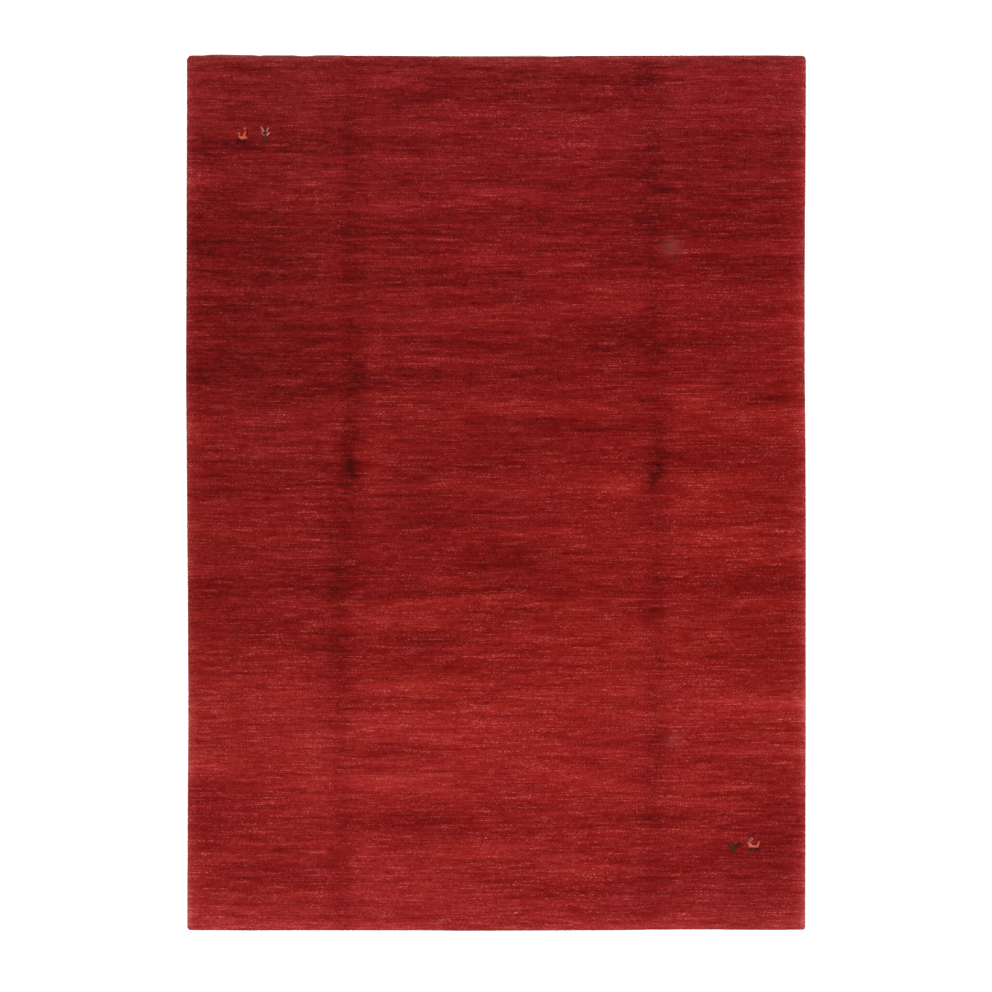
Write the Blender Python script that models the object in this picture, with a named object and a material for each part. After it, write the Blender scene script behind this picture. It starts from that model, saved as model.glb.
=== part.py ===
"""Gabbeh rug, 1.70 m by 2.40 m, lying open and flat on a floor.

The rug is a thick field of hand-knotted wool pile. An overcast cord runs down
each long side under the pile, and at each end a flat-woven strip is turned
under, so that only its folded edge shows past the pile. The pile keeps the
soft creases of the way the rug was folded: two lengthwise and one crosswise.

Frame: metres, +Z up. The origin lies on the floor under the middle of the rug,
+X runs across the width and +Y along the length towards the head end.
"""

import math

import bmesh
import bpy
from mathutils import Vector

COLLECTION_NAME = "gabbeh_rug"

# Overall size, out to the widest points of the edges.
RUG_WIDTH = 1.700
RUG_LENGTH = 2.404
HALF_WIDTH = RUG_WIDTH / 2
HALF_LENGTH = RUG_LENGTH / 2
PILE_TOP = 0.015

# The pile's edge: a rounded shoulder that comes down to a lip.
SHOULDER = 0.007
SHOULDER_ANGLES = (0, 25, 50, 72, 90)
LIP_HEIGHT = 0.008
CORNER_RADIUS = {"head_left": 0.014, "head_right": 0.012, "foot_left": 0.010, "foot_right": 0.008}

# What lies under the lip: the side cords and the turned-under ends.
EDGE_HEIGHT = 0.006
CLEARANCE = 0.0003
CORD_DIAMETER = EDGE_HEIGHT
CORD_END_GAP = 0.010
STRIP_DEPTH = 0.021
STRIP_ROUNDING = 0.0025
STRIP_EDGE_SHARE = 0.4
RECESS_HEIGHT = EDGE_HEIGHT + CLEARANCE
SIDE_RECESS = CORD_DIAMETER + 2 * CLEARANCE
END_RECESS = STRIP_DEPTH + CLEARANCE

# How far each edge lies inside the overall size: (place along the edge, inset).
LEFT_EDGE = (
    (-1.17, 0.0033), (-0.90, 0.0044), (-0.62, 0.0061), (-0.35, 0.0051), (-0.08, 0.0032),
    (0.06, 0.0018), (0.34, 0.0), (0.75, 0.0014), (1.16, 0.0024),
)
RIGHT_EDGE = (
    (-1.17, 0.0020), (-0.90, 0.0013), (-0.62, 0.0006), (-0.08, 0.0004), (0.06, 0.0009),
    (0.20, 0.0019), (0.34, 0.0033), (0.55, 0.0035), (0.75, 0.0026), (0.89, 0.0011), (1.16, 0.0),
)
HEAD_EDGE = (
    (-0.80, 0.0), (-0.67, 0.0020), (-0.55, 0.0025), (-0.43, 0.0020), (-0.30, 0.0029),
    (-0.06, 0.0042), (0.19, 0.0031), (0.44, 0.0025), (0.68, 0.0019), (0.81, 0.0015),
)
FOOT_EDGE = (
    (-0.80, 0.0018), (-0.67, 0.0009), (-0.55, 0.0014), (-0.30, 0.0012), (-0.06, 0.0),
    (0.07, 0.0005), (0.31, 0.0015), (0.44, 0.0027), (0.56, 0.0031), (0.81, 0.0022),
)

# How far the flat-woven ends show past the pile: (place across, width that shows).
HEAD_PEEK = (
    (-0.82, 0.0008), (-0.74, 0.0026), (-0.45, 0.0026), (-0.38, 0.0006), (-0.17, 0.0006),
    (-0.12, 0.0022), (0.15, 0.0022), (0.20, 0.0005), (0.58, 0.0005), (0.65, 0.0012), (0.80, 0.0012),
)
FOOT_PEEK = (
    (-0.22, 0.0004), (-0.19, 0.0010), (-0.12, 0.0004), (0.40, 0.0004), (0.45, 0.0010),
    (0.80, 0.0010),
)
PEEK_BLEND = 0.015

# Where the two lengthwise creases run.
LEFT_CREASE_X = -0.406
RIGHT_CREASE_X = 0.438
CREASE_HALF_WIDTH = 0.044
# Depth of each lengthwise crease: (place along the length, depth).
LEFT_CREASE_DEPTH = ((-1.20, 0.0010), (-0.30, 0.0013), (0.05, 0.0026), (0.70, 0.0024), (1.20, 0.0018))
RIGHT_CREASE_DEPTH = ((-1.20, 0.0011), (-0.45, 0.0018), (0.02, 0.0026), (0.60, 0.0019), (1.20, 0.0012))

# The crosswise crease drops a little towards the right: (place across, depth).
CROSS_CREASE_Y = 0.053
CROSS_CREASE_SLOPE = -0.075
CROSS_CREASE_REACH = 0.35
CROSS_CREASE_DEPTH = ((-0.85, 0.0006), (-0.40, 0.0016), (0.10, 0.0010), (0.44, 0.0018), (0.85, 0.0008))

# Dimples and rises where the creases cross: (across, along, radius, rise).
SOFT_SPOTS = (
    (-0.401, 0.084, 0.030, -0.0026),
    (0.437, 0.021, 0.028, -0.0030),
    (0.345, 0.030, 0.060, 0.0010),
    (0.545, 0.025, 0.070, 0.0012),
    (0.560, 0.275, 0.075, 0.0009),
    (-0.310, 0.120, 0.070, 0.0007),
)

# Low unevenness of the whole cloth: (waves per metre across, along, turn, rise).
UNDULATIONS = (
    (0.9, 0.5, 0.4, 0.0005),
    (-0.6, 1.3, 2.1, 0.0004),
    (1.7, -1.1, 4.4, 0.0003),
)

# Spacing of the surface lines between the edges and the creases.
LINE_SPACING = 0.085
CREASE_LINES = (-0.040, -0.016, 0.0, 0.016, 0.040)
MIN_LINE_GAP = 0.022

# Section of the pile's rim under the shoulder: (height, inset at sides, inset at ends).
RIM_PROFILE = (
    (0.0072, 0.0004, 0.0004),
    (RECESS_HEIGHT, 0.0015, 0.0015),
    (RECESS_HEIGHT, SIDE_RECESS, END_RECESS),
    (0.0, SIDE_RECESS, END_RECESS),
)
# The middle of the underside, set off centre.
UNDERSIDE_HUB = Vector((0.09, -0.06, 0.0))

# Materials: (base colour, roughness).
PILE_WOOL = ((0.235, 0.013, 0.012), 0.92)
CORD_WOOL = ((0.270, 0.016, 0.014), 0.85)
FLAT_WEAVE = ((0.520, 0.430, 0.320), 0.90)
SMOOTH_ANGLE = math.radians(50)
MERGE_DISTANCE = 1e-6


def remove_scene_objects():
    """Start from an empty scene."""
    for item in list(bpy.data.objects):
        bpy.data.objects.remove(item, do_unlink=True)


def make_collection(name):
    """Add the collection that holds the rug."""
    collection = bpy.data.collections.new(name)
    bpy.context.scene.collection.children.link(collection)
    return collection


def make_material(name, look):
    """Add one wool material from its colour and roughness."""
    colour, roughness = look
    material = bpy.data.materials.new(name)
    material.use_nodes = True
    shader = material.node_tree.nodes["Principled BSDF"]
    shader.inputs["Base Color"].default_value = (*colour, 1.0)
    shader.inputs["Roughness"].default_value = roughness
    shader.inputs["Metallic"].default_value = 0.0
    material.diffuse_color = (*colour, 1.0)
    return material


def ease(amount):
    """Soft step from 0 to 1."""
    amount = min(1.0, max(0.0, amount))
    return amount * amount * (3.0 - 2.0 * amount)


def read_table(table, place):
    """Value of a (place, value) table at a place, eased between its rows."""
    if place <= table[0][0]:
        return table[0][1]
    for (start, low), (stop, high) in zip(table, table[1:]):
        if place <= stop:
            return low + (high - low) * ease((place - start) / (stop - start))
    return table[-1][1]


def corner_radius(x, y):
    """Radius of the rug's corner that is nearest."""
    end = "head" if y > 0 else "foot"
    side = "right" if x > 0 else "left"
    return CORNER_RADIUS[end + "_" + side]


def round_corner(x, y):
    """Pull a point near one of the four corners onto the corner's arc."""
    radius = corner_radius(x, y)
    over_x = abs(x) - (HALF_WIDTH - radius)
    over_y = abs(y) - (HALF_LENGTH - radius)
    if over_x <= 0 or over_y <= 0:
        return x, y
    arc_x = over_x * math.sqrt(1 - over_y ** 2 / (2 * radius ** 2))
    arc_y = over_y * math.sqrt(1 - over_x ** 2 / (2 * radius ** 2))
    x = math.copysign(HALF_WIDTH - radius + arc_x, x)
    y = math.copysign(HALF_LENGTH - radius + arc_y, y)
    return x, y


def follow_outline(x, y, pulled_back=False):
    """Move a point of the plain rectangle to its place in the rug's uneven outline."""
    x, y = round_corner(x, y)
    side = read_table(LEFT_EDGE, y) if x < 0 else -read_table(RIGHT_EDGE, y)
    end = read_table(FOOT_EDGE, x) if y < 0 else -read_table(HEAD_EDGE, x)
    if pulled_back:
        peek = read_table(FOOT_PEEK, x) if y < 0 else -read_table(HEAD_PEEK, x)
        near_end = (abs(y) - (HALF_LENGTH - PEEK_BLEND)) / PEEK_BLEND
        end += peek * max(0.0, near_end)
    new_x = x + side * abs(x) / HALF_WIDTH
    new_y = y + end * abs(y) / HALF_LENGTH
    return new_x, new_y


def follow_cross_crease(x, y):
    """Slant the surface lines so that they run along the crosswise crease."""
    distance = (y - CROSS_CREASE_Y) / CROSS_CREASE_REACH
    return y + CROSS_CREASE_SLOPE * x * math.exp(-distance * distance)


def crease_shape(distance):
    """Section of a crease: 1 in its middle, 0 at its half width."""
    if abs(distance) >= CREASE_HALF_WIDTH:
        return 0.0
    return 0.5 + 0.5 * math.cos(math.pi * distance / CREASE_HALF_WIDTH)


def soft_spot(x, y, spot):
    """Rise of one dimple or swelling at a point."""
    across, along, radius, rise = spot
    distance = math.hypot(x - across, y - along) / radius
    return rise * math.exp(-distance * distance)


def undulation(x, y, wave):
    """Rise of one long wave of the cloth at a point."""
    across, along, turn, rise = wave
    return rise * math.sin(2 * math.pi * (across * x + along * y) + turn)


def pile_height(x, y):
    """Height of the pile's tips over the floor, away from the edges."""
    height = PILE_TOP
    height -= read_table(LEFT_CREASE_DEPTH, y) * crease_shape(x - LEFT_CREASE_X)
    height -= read_table(RIGHT_CREASE_DEPTH, y) * crease_shape(x - RIGHT_CREASE_X)
    cross_y = CROSS_CREASE_Y + CROSS_CREASE_SLOPE * x
    height -= read_table(CROSS_CREASE_DEPTH, x) * crease_shape(y - cross_y)
    height += sum(soft_spot(x, y, spot) for spot in SOFT_SPOTS)
    height += sum(undulation(x, y, wave) for wave in UNDULATIONS)
    return height


def shoulder_height(height, edge_distance):
    """Bring the pile's height down to the lip over the rounded shoulder."""
    if edge_distance >= SHOULDER:
        return height
    inward = (SHOULDER - edge_distance) / SHOULDER
    return LIP_HEIGHT + (height - LIP_HEIGHT) * math.sqrt(max(0.0, 1 - inward * inward))


def shoulder_lines(half_size):
    """Surface lines that follow the shoulder's arc at both edges."""
    insets = [SHOULDER * (1 - math.cos(math.radians(angle))) for angle in SHOULDER_ANGLES]
    return [half_size - inset for inset in insets] + [inset - half_size for inset in insets]


def surface_lines(half_size, creases):
    """All surface lines one way: at the shoulders, at the creases and between them."""
    lines = shoulder_lines(half_size)
    for crease in creases:
        lines += [crease + offset for offset in CREASE_LINES]
    fixed = sorted(lines)
    for start, stop in zip(fixed, fixed[1:]):
        steps = round((stop - start) / LINE_SPACING)
        if stop - start > MIN_LINE_GAP and steps > 1:
            lines += [start + (stop - start) * step / steps for step in range(1, steps)]
    return sorted(lines)


def add_grid(mesh, x_lines, y_lines):
    """Add a flat grid whose lines lie at the given places."""
    columns = len(x_lines) - 1
    rows = len(y_lines) - 1
    bmesh.ops.create_grid(mesh, x_segments=columns, y_segments=rows, size=0.5)
    for vertex in mesh.verts:
        column = round((vertex.co.x + 0.5) * columns)
        row = round((vertex.co.y + 0.5) * rows)
        vertex.co.x = x_lines[column]
        vertex.co.y = y_lines[row]


def add_rim(mesh):
    """Carry the pile's edge down, in under the lip and down to the floor."""
    edges = [edge for edge in mesh.edges if edge.is_boundary]
    for height, side_inset, end_inset in RIM_PROFILE:
        grown = bmesh.ops.extrude_edge_only(mesh, edges=edges)["geom"]
        limit_x = HALF_WIDTH - side_inset
        limit_y = HALF_LENGTH - end_inset
        for vertex in (item for item in grown if isinstance(item, bmesh.types.BMVert)):
            vertex.co.x = max(-limit_x, min(limit_x, vertex.co.x))
            vertex.co.y = max(-limit_y, min(limit_y, vertex.co.y))
            vertex.co.z = height
        edges = [item for item in grown if isinstance(item, bmesh.types.BMEdge)]
    return edges


def close_underside(mesh, edges):
    """Close the flat underside with a fan of faces round its hub."""
    underside = bmesh.ops.contextual_create(mesh, geom=edges)["faces"]
    hub = bmesh.ops.poke(mesh, faces=underside)["verts"][0]
    hub.co = UNDERSIDE_HUB


def finish_object(mesh, name, material, collection):
    """Turn the edited mesh into a shaded object of the rug."""
    bmesh.ops.recalc_face_normals(mesh, faces=mesh.faces)
    data = bpy.data.meshes.new(name)
    mesh.to_mesh(data)
    mesh.free()
    data.materials.append(material)
    data.shade_smooth()
    data.set_sharp_from_angle(angle=SMOOTH_ANGLE)
    item = bpy.data.objects.new(name, data)
    collection.objects.link(item)
    return item


def make_knotted_field(collection, material):
    """The pile with its ground: one closed solid, recessed round its foot."""
    mesh = bmesh.new()
    x_lines = surface_lines(HALF_WIDTH, (LEFT_CREASE_X, RIGHT_CREASE_X))
    y_lines = surface_lines(HALF_LENGTH, (CROSS_CREASE_Y,))
    add_grid(mesh, x_lines, y_lines)
    surface = list(mesh.verts)
    floor_edges = add_rim(mesh)
    edge_distances = [
        min(HALF_WIDTH - abs(vertex.co.x), HALF_LENGTH - abs(vertex.co.y)) for vertex in surface
    ]
    for vertex in mesh.verts:
        vertex.co.y = follow_cross_crease(vertex.co.x, vertex.co.y)
    for vertex, edge_distance in zip(surface, edge_distances):
        height = pile_height(vertex.co.x, vertex.co.y)
        vertex.co.z = shoulder_height(height, edge_distance)
    for vertex in mesh.verts:
        vertex.co.x, vertex.co.y = follow_outline(vertex.co.x, vertex.co.y, pulled_back=True)
    close_underside(mesh, floor_edges)
    bmesh.ops.remove_doubles(mesh, verts=mesh.verts, dist=MERGE_DISTANCE)
    bmesh.ops.dissolve_degenerate(mesh, edges=mesh.edges, dist=MERGE_DISTANCE)
    return finish_object(mesh, "knotted_field", material, collection)


def make_selvedge(name, side, collection, material):
    """One overcast side cord under the pile's lip; side is -1 on the left, +1 on the right."""
    curve = bpy.data.curves.new(name, "CURVE")
    curve.dimensions = "3D"
    curve.bevel_depth = CORD_DIAMETER / 2
    curve.bevel_resolution = 2
    curve.use_fill_caps = True
    across = side * (HALF_WIDTH - CLEARANCE - CORD_DIAMETER / 2)
    reach = HALF_LENGTH - CORD_END_GAP
    lines = surface_lines(HALF_LENGTH, (CROSS_CREASE_Y,))
    places = [-reach] + [line for line in lines if abs(line) < reach - SHOULDER] + [reach]
    route = [follow_outline(across, follow_cross_crease(across, place)) for place in places]
    spline = curve.splines.new("POLY")
    spline.points.add(len(route) - 1)
    for point, (x, y) in zip(spline.points, route):
        point.co = (x, y, CORD_DIAMETER / 2, 1.0)
    curve.materials.append(material)
    item = bpy.data.objects.new(name, curve)
    collection.objects.link(item)
    return item


def add_strip_surface(mesh, end):
    """Upper surface of an end strip, rounded down at its folded edge."""
    half_strip = HALF_WIDTH - SIDE_RECESS
    columns = 2 * round(half_strip / LINE_SPACING)
    x_lines = [half_strip * (2 * column / columns - 1) for column in range(columns + 1)]
    insets = (0.0, STRIP_ROUNDING / 3, STRIP_ROUNDING, STRIP_DEPTH)
    y_lines = sorted(end * (HALF_LENGTH - inset) for inset in insets)
    add_grid(mesh, x_lines, y_lines)
    middle = EDGE_HEIGHT / 2
    for vertex in mesh.verts:
        inset = HALF_LENGTH - abs(vertex.co.y)
        inward = max(0.0, STRIP_ROUNDING - inset) / STRIP_ROUNDING
        rounding = math.sqrt(max(0.0, 1 - inward * inward))
        vertex.co.z = middle + middle * (STRIP_EDGE_SHARE + (1 - STRIP_EDGE_SHARE) * rounding)


def make_kilim_end(name, end, collection, material):
    """A flat-woven end turned under the pile; end is +1 at the head, -1 at the foot."""
    mesh = bmesh.new()
    add_strip_surface(mesh, end)
    surface = mesh.verts[:] + mesh.edges[:] + mesh.faces[:]
    copied = bmesh.ops.duplicate(mesh, geom=surface)["geom"]
    for vertex in (item for item in copied if isinstance(item, bmesh.types.BMVert)):
        vertex.co.z = EDGE_HEIGHT - vertex.co.z
    rims = [edge for edge in mesh.edges if edge.is_boundary]
    bmesh.ops.bridge_loops(mesh, edges=rims)
    for vertex in mesh.verts:
        vertex.co.x, vertex.co.y = follow_outline(vertex.co.x, vertex.co.y)
    return finish_object(mesh, name, material, collection)


def main():
    """Build the whole rug."""
    remove_scene_objects()
    collection = make_collection(COLLECTION_NAME)
    pile_wool = make_material("pile_wool", PILE_WOOL)
    cord_wool = make_material("cord_wool", CORD_WOOL)
    flat_weave = make_material("flat_weave", FLAT_WEAVE)
    make_knotted_field(collection, pile_wool)
    make_selvedge("selvedge_left", -1, collection, cord_wool)
    make_selvedge("selvedge_right", 1, collection, cord_wool)
    make_kilim_end("kilim_end_head", 1, collection, flat_weave)
    make_kilim_end("kilim_end_foot", -1, collection, flat_weave)


main()
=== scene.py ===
import math
from contextlib import contextmanager

import bmesh
import bpy
import numpy as np
from bpy.props import FloatProperty, FloatVectorProperty, IntProperty, PointerProperty
from bpy.types import Operator, Panel, PropertyGroup
from mathutils.bvhtree import BVHTree
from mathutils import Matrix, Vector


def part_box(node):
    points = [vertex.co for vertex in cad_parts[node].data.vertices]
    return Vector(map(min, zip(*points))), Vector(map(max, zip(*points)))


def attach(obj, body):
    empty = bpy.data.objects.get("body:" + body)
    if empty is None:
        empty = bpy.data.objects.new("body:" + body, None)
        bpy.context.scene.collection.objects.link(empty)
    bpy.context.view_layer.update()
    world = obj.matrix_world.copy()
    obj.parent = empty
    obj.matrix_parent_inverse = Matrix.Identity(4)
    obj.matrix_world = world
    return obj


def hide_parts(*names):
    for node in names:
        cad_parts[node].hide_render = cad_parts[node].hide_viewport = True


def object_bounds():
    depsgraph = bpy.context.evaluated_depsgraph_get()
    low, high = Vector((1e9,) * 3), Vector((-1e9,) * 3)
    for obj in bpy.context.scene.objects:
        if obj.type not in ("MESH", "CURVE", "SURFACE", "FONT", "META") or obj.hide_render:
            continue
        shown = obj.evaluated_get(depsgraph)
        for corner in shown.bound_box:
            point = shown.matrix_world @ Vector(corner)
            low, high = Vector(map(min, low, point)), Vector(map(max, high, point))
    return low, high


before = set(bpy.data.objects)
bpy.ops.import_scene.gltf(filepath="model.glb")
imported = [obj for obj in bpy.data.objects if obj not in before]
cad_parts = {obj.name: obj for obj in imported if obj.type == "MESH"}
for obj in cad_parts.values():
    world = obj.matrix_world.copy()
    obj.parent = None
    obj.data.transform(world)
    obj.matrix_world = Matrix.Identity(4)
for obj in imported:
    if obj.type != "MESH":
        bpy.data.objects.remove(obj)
CAD_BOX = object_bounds()

bl_info = {
    "name": "Gabbeh rug",
    "version": (1, 0, 0),
    "blender": (4, 5, 0),
    "location": "View3D > Sidebar > Rug",
    "description": "Knots a plain red gabbeh rug with its edges and lays it out",
    "category": "Object",
}

BODY = "root"
FIELD_NODE = "knotted_field"
CORD_NODES = {-1: "selvedge_left", 1: "selvedge_right"}
END_NODES = {1: "kilim_end_head", -1: "kilim_end_foot"}
MERGE_DISTANCE = 1e-6
# Chance of the whole rug, and what its cords and ends add to it.
RUG_SEED = 24170
CORD_SEED = 50
END_SEED = 70

# The rug's own sizes, from the solids.
HALF_WIDTH = (CAD_BOX[1].x - CAD_BOX[0].x) / 2
HALF_LENGTH = (CAD_BOX[1].y - CAD_BOX[0].y) / 2
EDGE_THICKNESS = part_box(CORD_NODES[-1])[1].z
LIP_HEIGHT = 0.008
LIP_TOLERANCE = 0.0002
EDGE_BAND = 0.020
# Radius of each corner: (end, side) and its radius.
CORNER_RADIUS = {(1, -1): 0.014, (1, 1): 0.012, (-1, -1): 0.010, (-1, 1): 0.008}

# Section of the pile's edge.
SHOULDER = 0.0068
SHOULDER_STEPS = 12
LIP_DROP = 0.0016
LIP_INSET = 0.0015
SIDE_RECESS = 0.0069
END_RECESS = 0.0216
UNDER_LIP = 0.0064
PILE_BASE = 0.0041
RIM_REACH = 0.0004
# Shares of the unevenness that corners and tips have across, along and up.
STRAY_SHARES = (1.0, 0.6, 0.2)
TIP_LEAN_SHARES = (0.8, 0.6, 0.0)
# Tips rise unevenly in runs of some knots, and by chance: share of each.
TIP_RUN_SHARE = 0.16
TIP_CHANCE_SHARE = 0.14

# A piece's own map: most of it is the upper side, a strip at its top is the rim below.
BAKE_MAP = "OFBake"
MAP_MARGIN = 0.002
MAP_SPREAD = (0.996, 0.970)
# The strip's middle and base, its width by place across and along, its height by lift and place.
MAP_BELOW = (0.5, 0.984)
MAP_BELOW_WIDTH = (0.4, 0.09)
MAP_BELOW_HEIGHT = (0.5, 0.003)

# Creases of the folded rug, darkened with painted shade: (place along the length, place across, strength).
LEFT_CREASE = (
    (-1.20, -0.424, 0.9), (-0.98, -0.424, 1.0), (-0.75, -0.426, 0.75), (-0.51, -0.434, 1.25),
    (-0.28, -0.437, 1.15), (-0.10, -0.424, 0.65), (0.05, -0.404, 0.95), (0.20, -0.393, 1.1),
    (0.36, -0.388, 0.9), (0.54, -0.397, 0.45), (0.72, -0.400, 0.45), (0.90, -0.398, 0.80),
    (1.08, -0.395, 0.45), (1.20, -0.394, 0.25),
)
RIGHT_CREASE = (
    (-1.20, 0.434, 0.35), (-0.98, 0.434, 0.6), (-0.73, 0.436, 1.35), (-0.51, 0.437, 0.95),
    (-0.29, 0.437, 0.8), (-0.09, 0.440, 1.15), (0.08, 0.441, 0.9), (0.21, 0.441, 0.5),
    (0.36, 0.440, 0.55), (0.54, 0.436, 0.8), (0.75, 0.430, 0.85), (0.90, 0.428, 0.8),
    (1.08, 0.418, 0.55), (1.20, 0.412, 0.40),
)
CREASE_HALF_WIDTH = 0.052
CREASE_SHARPNESS = 2.2
# Painted shade at a crease's middle, in steps of shade.
CREASE_PAINTED_SHADE = -11.0

# Abrash: the dye lots follow each other along the length: (place along, shade).
ABRASH = (
    (-1.18, 19.6), (-1.09, 16.5), (-1.00, 9.5), (-0.93, -0.2), (-0.85, 5.8), (-0.79, 14.4),
    (-0.70, 12.5), (-0.60, 21.9), (-0.52, 15.1), (-0.47, 7.5), (-0.38, 4.3), (-0.295, 2.7),
    (-0.275, -2.2), (-0.24, -6.5), (-0.19, -1.5), (-0.08, -6.2), (0.03, -3.0), (0.08, -9.7),
    (0.16, -2.8), (0.25, -6.5), (0.33, -14.0), (0.41, -15.9), (0.49, -5.9), (0.60, -7.5),
    (0.71, -16.0), (0.85, -5.5), (0.93, -3.5), (0.96, -13.7), (1.04, -6.6), (1.12, -9.5),
    (1.18, -8.6),
)

# Hue of the lots along the length, whose greyness is partly painted sheen: (place along, warmth, greyness).
HUE_AND_SHEEN_DRIFT = (
    (-1.20, -1.2, 0.00), (-1.00, -0.5, -0.10), (-0.80, 0.4, -0.20), (-0.45, 0.5, -0.15),
    (-0.15, 0.5, -0.12), (0.14, 0.3, 0.00), (0.44, -0.6, 0.08), (0.74, -1.7, 0.25), (1.00, -2.9, 0.80),
    (1.20, -3.3, 1.00),
)

# Painted light and shade of the nap, and stray lots: (across, along, half width, half height, shade).
PATCHES = (
    (-0.74, 0.42, 0.17, 0.15, -9.0), (-0.80, 0.10, 0.10, 1.10, -2.0), (-0.70, 0.24, 0.35, 0.70, -4.5),
    (0.68, 0.35, 0.33, 0.60, 4.5), (0.76, -1.06, 0.14, 0.09, -4.0), (-0.60, 0.13, 0.28, 0.10, -8.0),
    (-0.20, 0.16, 0.15, 0.09, -4.0), (0.74, 0.00, 0.14, 0.30, 4.0), (0.45, -0.40, 0.18, 0.12, 4.0),
    (-0.18, -1.05, 0.20, 0.08, 7.0), (0.12, -1.06, 0.20, 0.08, 5.0), (-0.72, 0.95, 0.13, 0.020, -8.0),
    (-0.70, 0.68, 0.16, 0.12, -5.0), (-0.50, 0.44, 0.10, 0.020, -6.0), (-0.401, 0.084, 0.024, 0.060, -11.0),
    (-0.4007, 0.0816, 0.010, 0.030, -15.0), (-0.387, 0.046, 0.012, 0.008, -12.0),
    (-0.335, 0.045, 0.030, 0.018, 8.0), (-0.395, 0.32, 0.030, 0.040, -6.0),
    (-0.20, 0.77, 0.17, 0.015, -6.0), (0.62, 0.75, 0.14, 0.014, -5.0), (0.62, 0.68, 0.08, 0.030, -8.0),
    (0.33, 0.67, 0.07, 0.05, -6.0), (0.25, 0.44, 0.12, 0.020, -9.0), (-0.05, 0.43, 0.08, 0.050, -6.0),
    (0.441, 0.145, 0.022, 0.060, -5.0), (0.442, 0.062, 0.026, 0.034, -12.0),
    (0.4515, 0.072, 0.010, 0.012, -20.0), (0.433, 0.045, 0.014, 0.014, -18.0),
    (0.4295, 0.017, 0.007, 0.016, -16.0), (0.565, 0.255, 0.070, 0.040, 17.0),
    (0.330, 0.018, 0.070, 0.028, 19.0), (0.555, -0.004, 0.085, 0.042, 17.0), (0.70, 0.27, 0.09, 0.05, -5.0),
    (-0.60, 0.12, 0.10, 0.022, 8.0), (-0.24, 0.13, 0.11, 0.030, 7.0), (-0.02, 0.50, 0.13, 0.022, 6.0),
    (0.05, 0.075, 0.07, 0.05, 4.0), (0.03, -0.185, 0.14, 0.022, -9.0), (-0.16, -0.10, 0.15, 0.04, -4.0),
    (-0.80, -0.25, 0.06, 0.045, -9.0), (0.70, -0.27, 0.12, 0.025, -6.0), (-0.16, -0.41, 0.18, 0.030, -8.0),
    (0.74, -0.46, 0.11, 0.030, -6.0), (-0.02, -0.55, 0.20, 0.04, 4.0), (0.54, -0.65, 0.09, 0.022, 8.0),
    (0.65, -0.72, 0.12, 0.06, -6.0), (-0.30, -0.80, 0.13, 0.035, 8.0), (-0.48, -0.72, 0.10, 0.04, 4.0),
    (0.22, -0.77, 0.12, 0.03, 6.0), (-0.68, -0.91, 0.12, 0.06, -9.0), (-0.10, -0.93, 0.09, 0.025, -8.0),
    (0.10, -0.86, 0.08, 0.020, -5.0), (0.74, -0.97, 0.11, 0.06, -11.0), (0.12, -1.09, 0.09, 0.05, -8.0),
    (0.46, -1.08, 0.05, 0.05, -6.0), (-0.50, -1.08, 0.11, 0.03, -5.0), (0.20, 0.95, 0.09, 0.07, 5.0),
    (0.82, -0.72, 0.04, 0.30, -5.0), (-0.328, 0.60, 0.024, 0.70, 4.5), (0.520, 1.08, 0.030, 0.090, 4.5),
    (0.512, 0.21, 0.024, 0.070, 5.0), (0.388, -0.36, 0.016, 0.140, 4.5),
    (-0.805, 1.181, 0.050, 0.005, 16.0), (-0.765, 1.168, 0.028, 0.004, 9.0),
    (-0.33, 0.74, 0.20, 0.12, -6.0), (0.70, 0.76, 0.13, 0.12, 4.5), (0.10, 0.46, 0.22, 0.12, 4.5),
    (0.60, 0.46, 0.20, 0.10, -6.5), (-0.78, 0.00, 0.10, 0.22, -3.5), (0.00, -0.17, 0.12, 0.10, -5.0),
    (0.40, -0.15, 0.34, 0.12, 5.0), (0.00, -0.45, 0.12, 0.10, -3.5), (-0.70, -1.04, 0.13, 0.08, -7.0),
    (-0.36, -1.04, 0.18, 0.08, 6.0), (0.00, -1.04, 0.10, 0.08, -5.0), (0.73, -1.06, 0.12, 0.08, -7.0),
    (0.00, 1.03, 0.14, 0.10, 3.5), (-0.24, 1.06, 0.12, 0.08, -3.5), (-0.70, -0.74, 0.12, 0.10, 3.0),
    (-0.42, -0.76, 0.12, 0.10, -3.0), (-0.06, -0.272, 0.11, 0.010, -8.0),
    (0.273, -0.273, 0.075, 0.010, 10.0), (0.273, -0.301, 0.075, 0.007, -10.0),
    (-0.270, -0.330, 0.055, 0.014, -8.0),
)
# Large patches, dye lots and creases wander a little: how far, and shares of it.
PATCH_WANDER = (0.022, 0.011)
STEADY_PATCH = 0.05
ABRASH_WANDER = 0.35
CREASE_WANDER = 0.3

# A sharp end of one dye lot: (from, to, shade under it), and how soon it fades.
LOT_STEP = (-0.42, 0.40, 7.0)
LOT_STEP_FADE = 0.045
# The step's bright line: places (across, along, shade), and its half height.
LOT_LINE = (
    (-0.42, -0.310, 20.0), (-0.30, -0.307, 40.0), (-0.20, -0.299, 34.0), (-0.05, -0.286, 14.0),
    (0.12, -0.285, 14.0), (0.27, -0.290, 8.0), (0.40, -0.293, 8.0),
)
LOT_LINE_HEIGHT = 0.0032
# The line comes and goes: mean share, spread and most of it.
LOT_LINE_SHARES = (0.6, 0.6, 1.4)

# Hand-spun yarn runs: (length of a run, depth of a run, shade).
YARN_RUNS = (
    (0.0054, 0.0043, 3.9),
    (0.012, 0.0043, 3.6),
    (0.030, 0.0043, 3.5),
    (0.100, 0.0048, 4.1),
    (0.190, 0.0120, 3.0),
    (0.340, 0.0450, 3.6),
    (0.600, 0.1500, 3.2),
)
# Hue wanders in the same way, more slowly: (length, depth, strength).
DYE_RUNS = ((0.030, 0.0043, 0.45), (0.120, 0.0200, 0.40), (0.500, 0.1600, 0.25))
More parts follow.
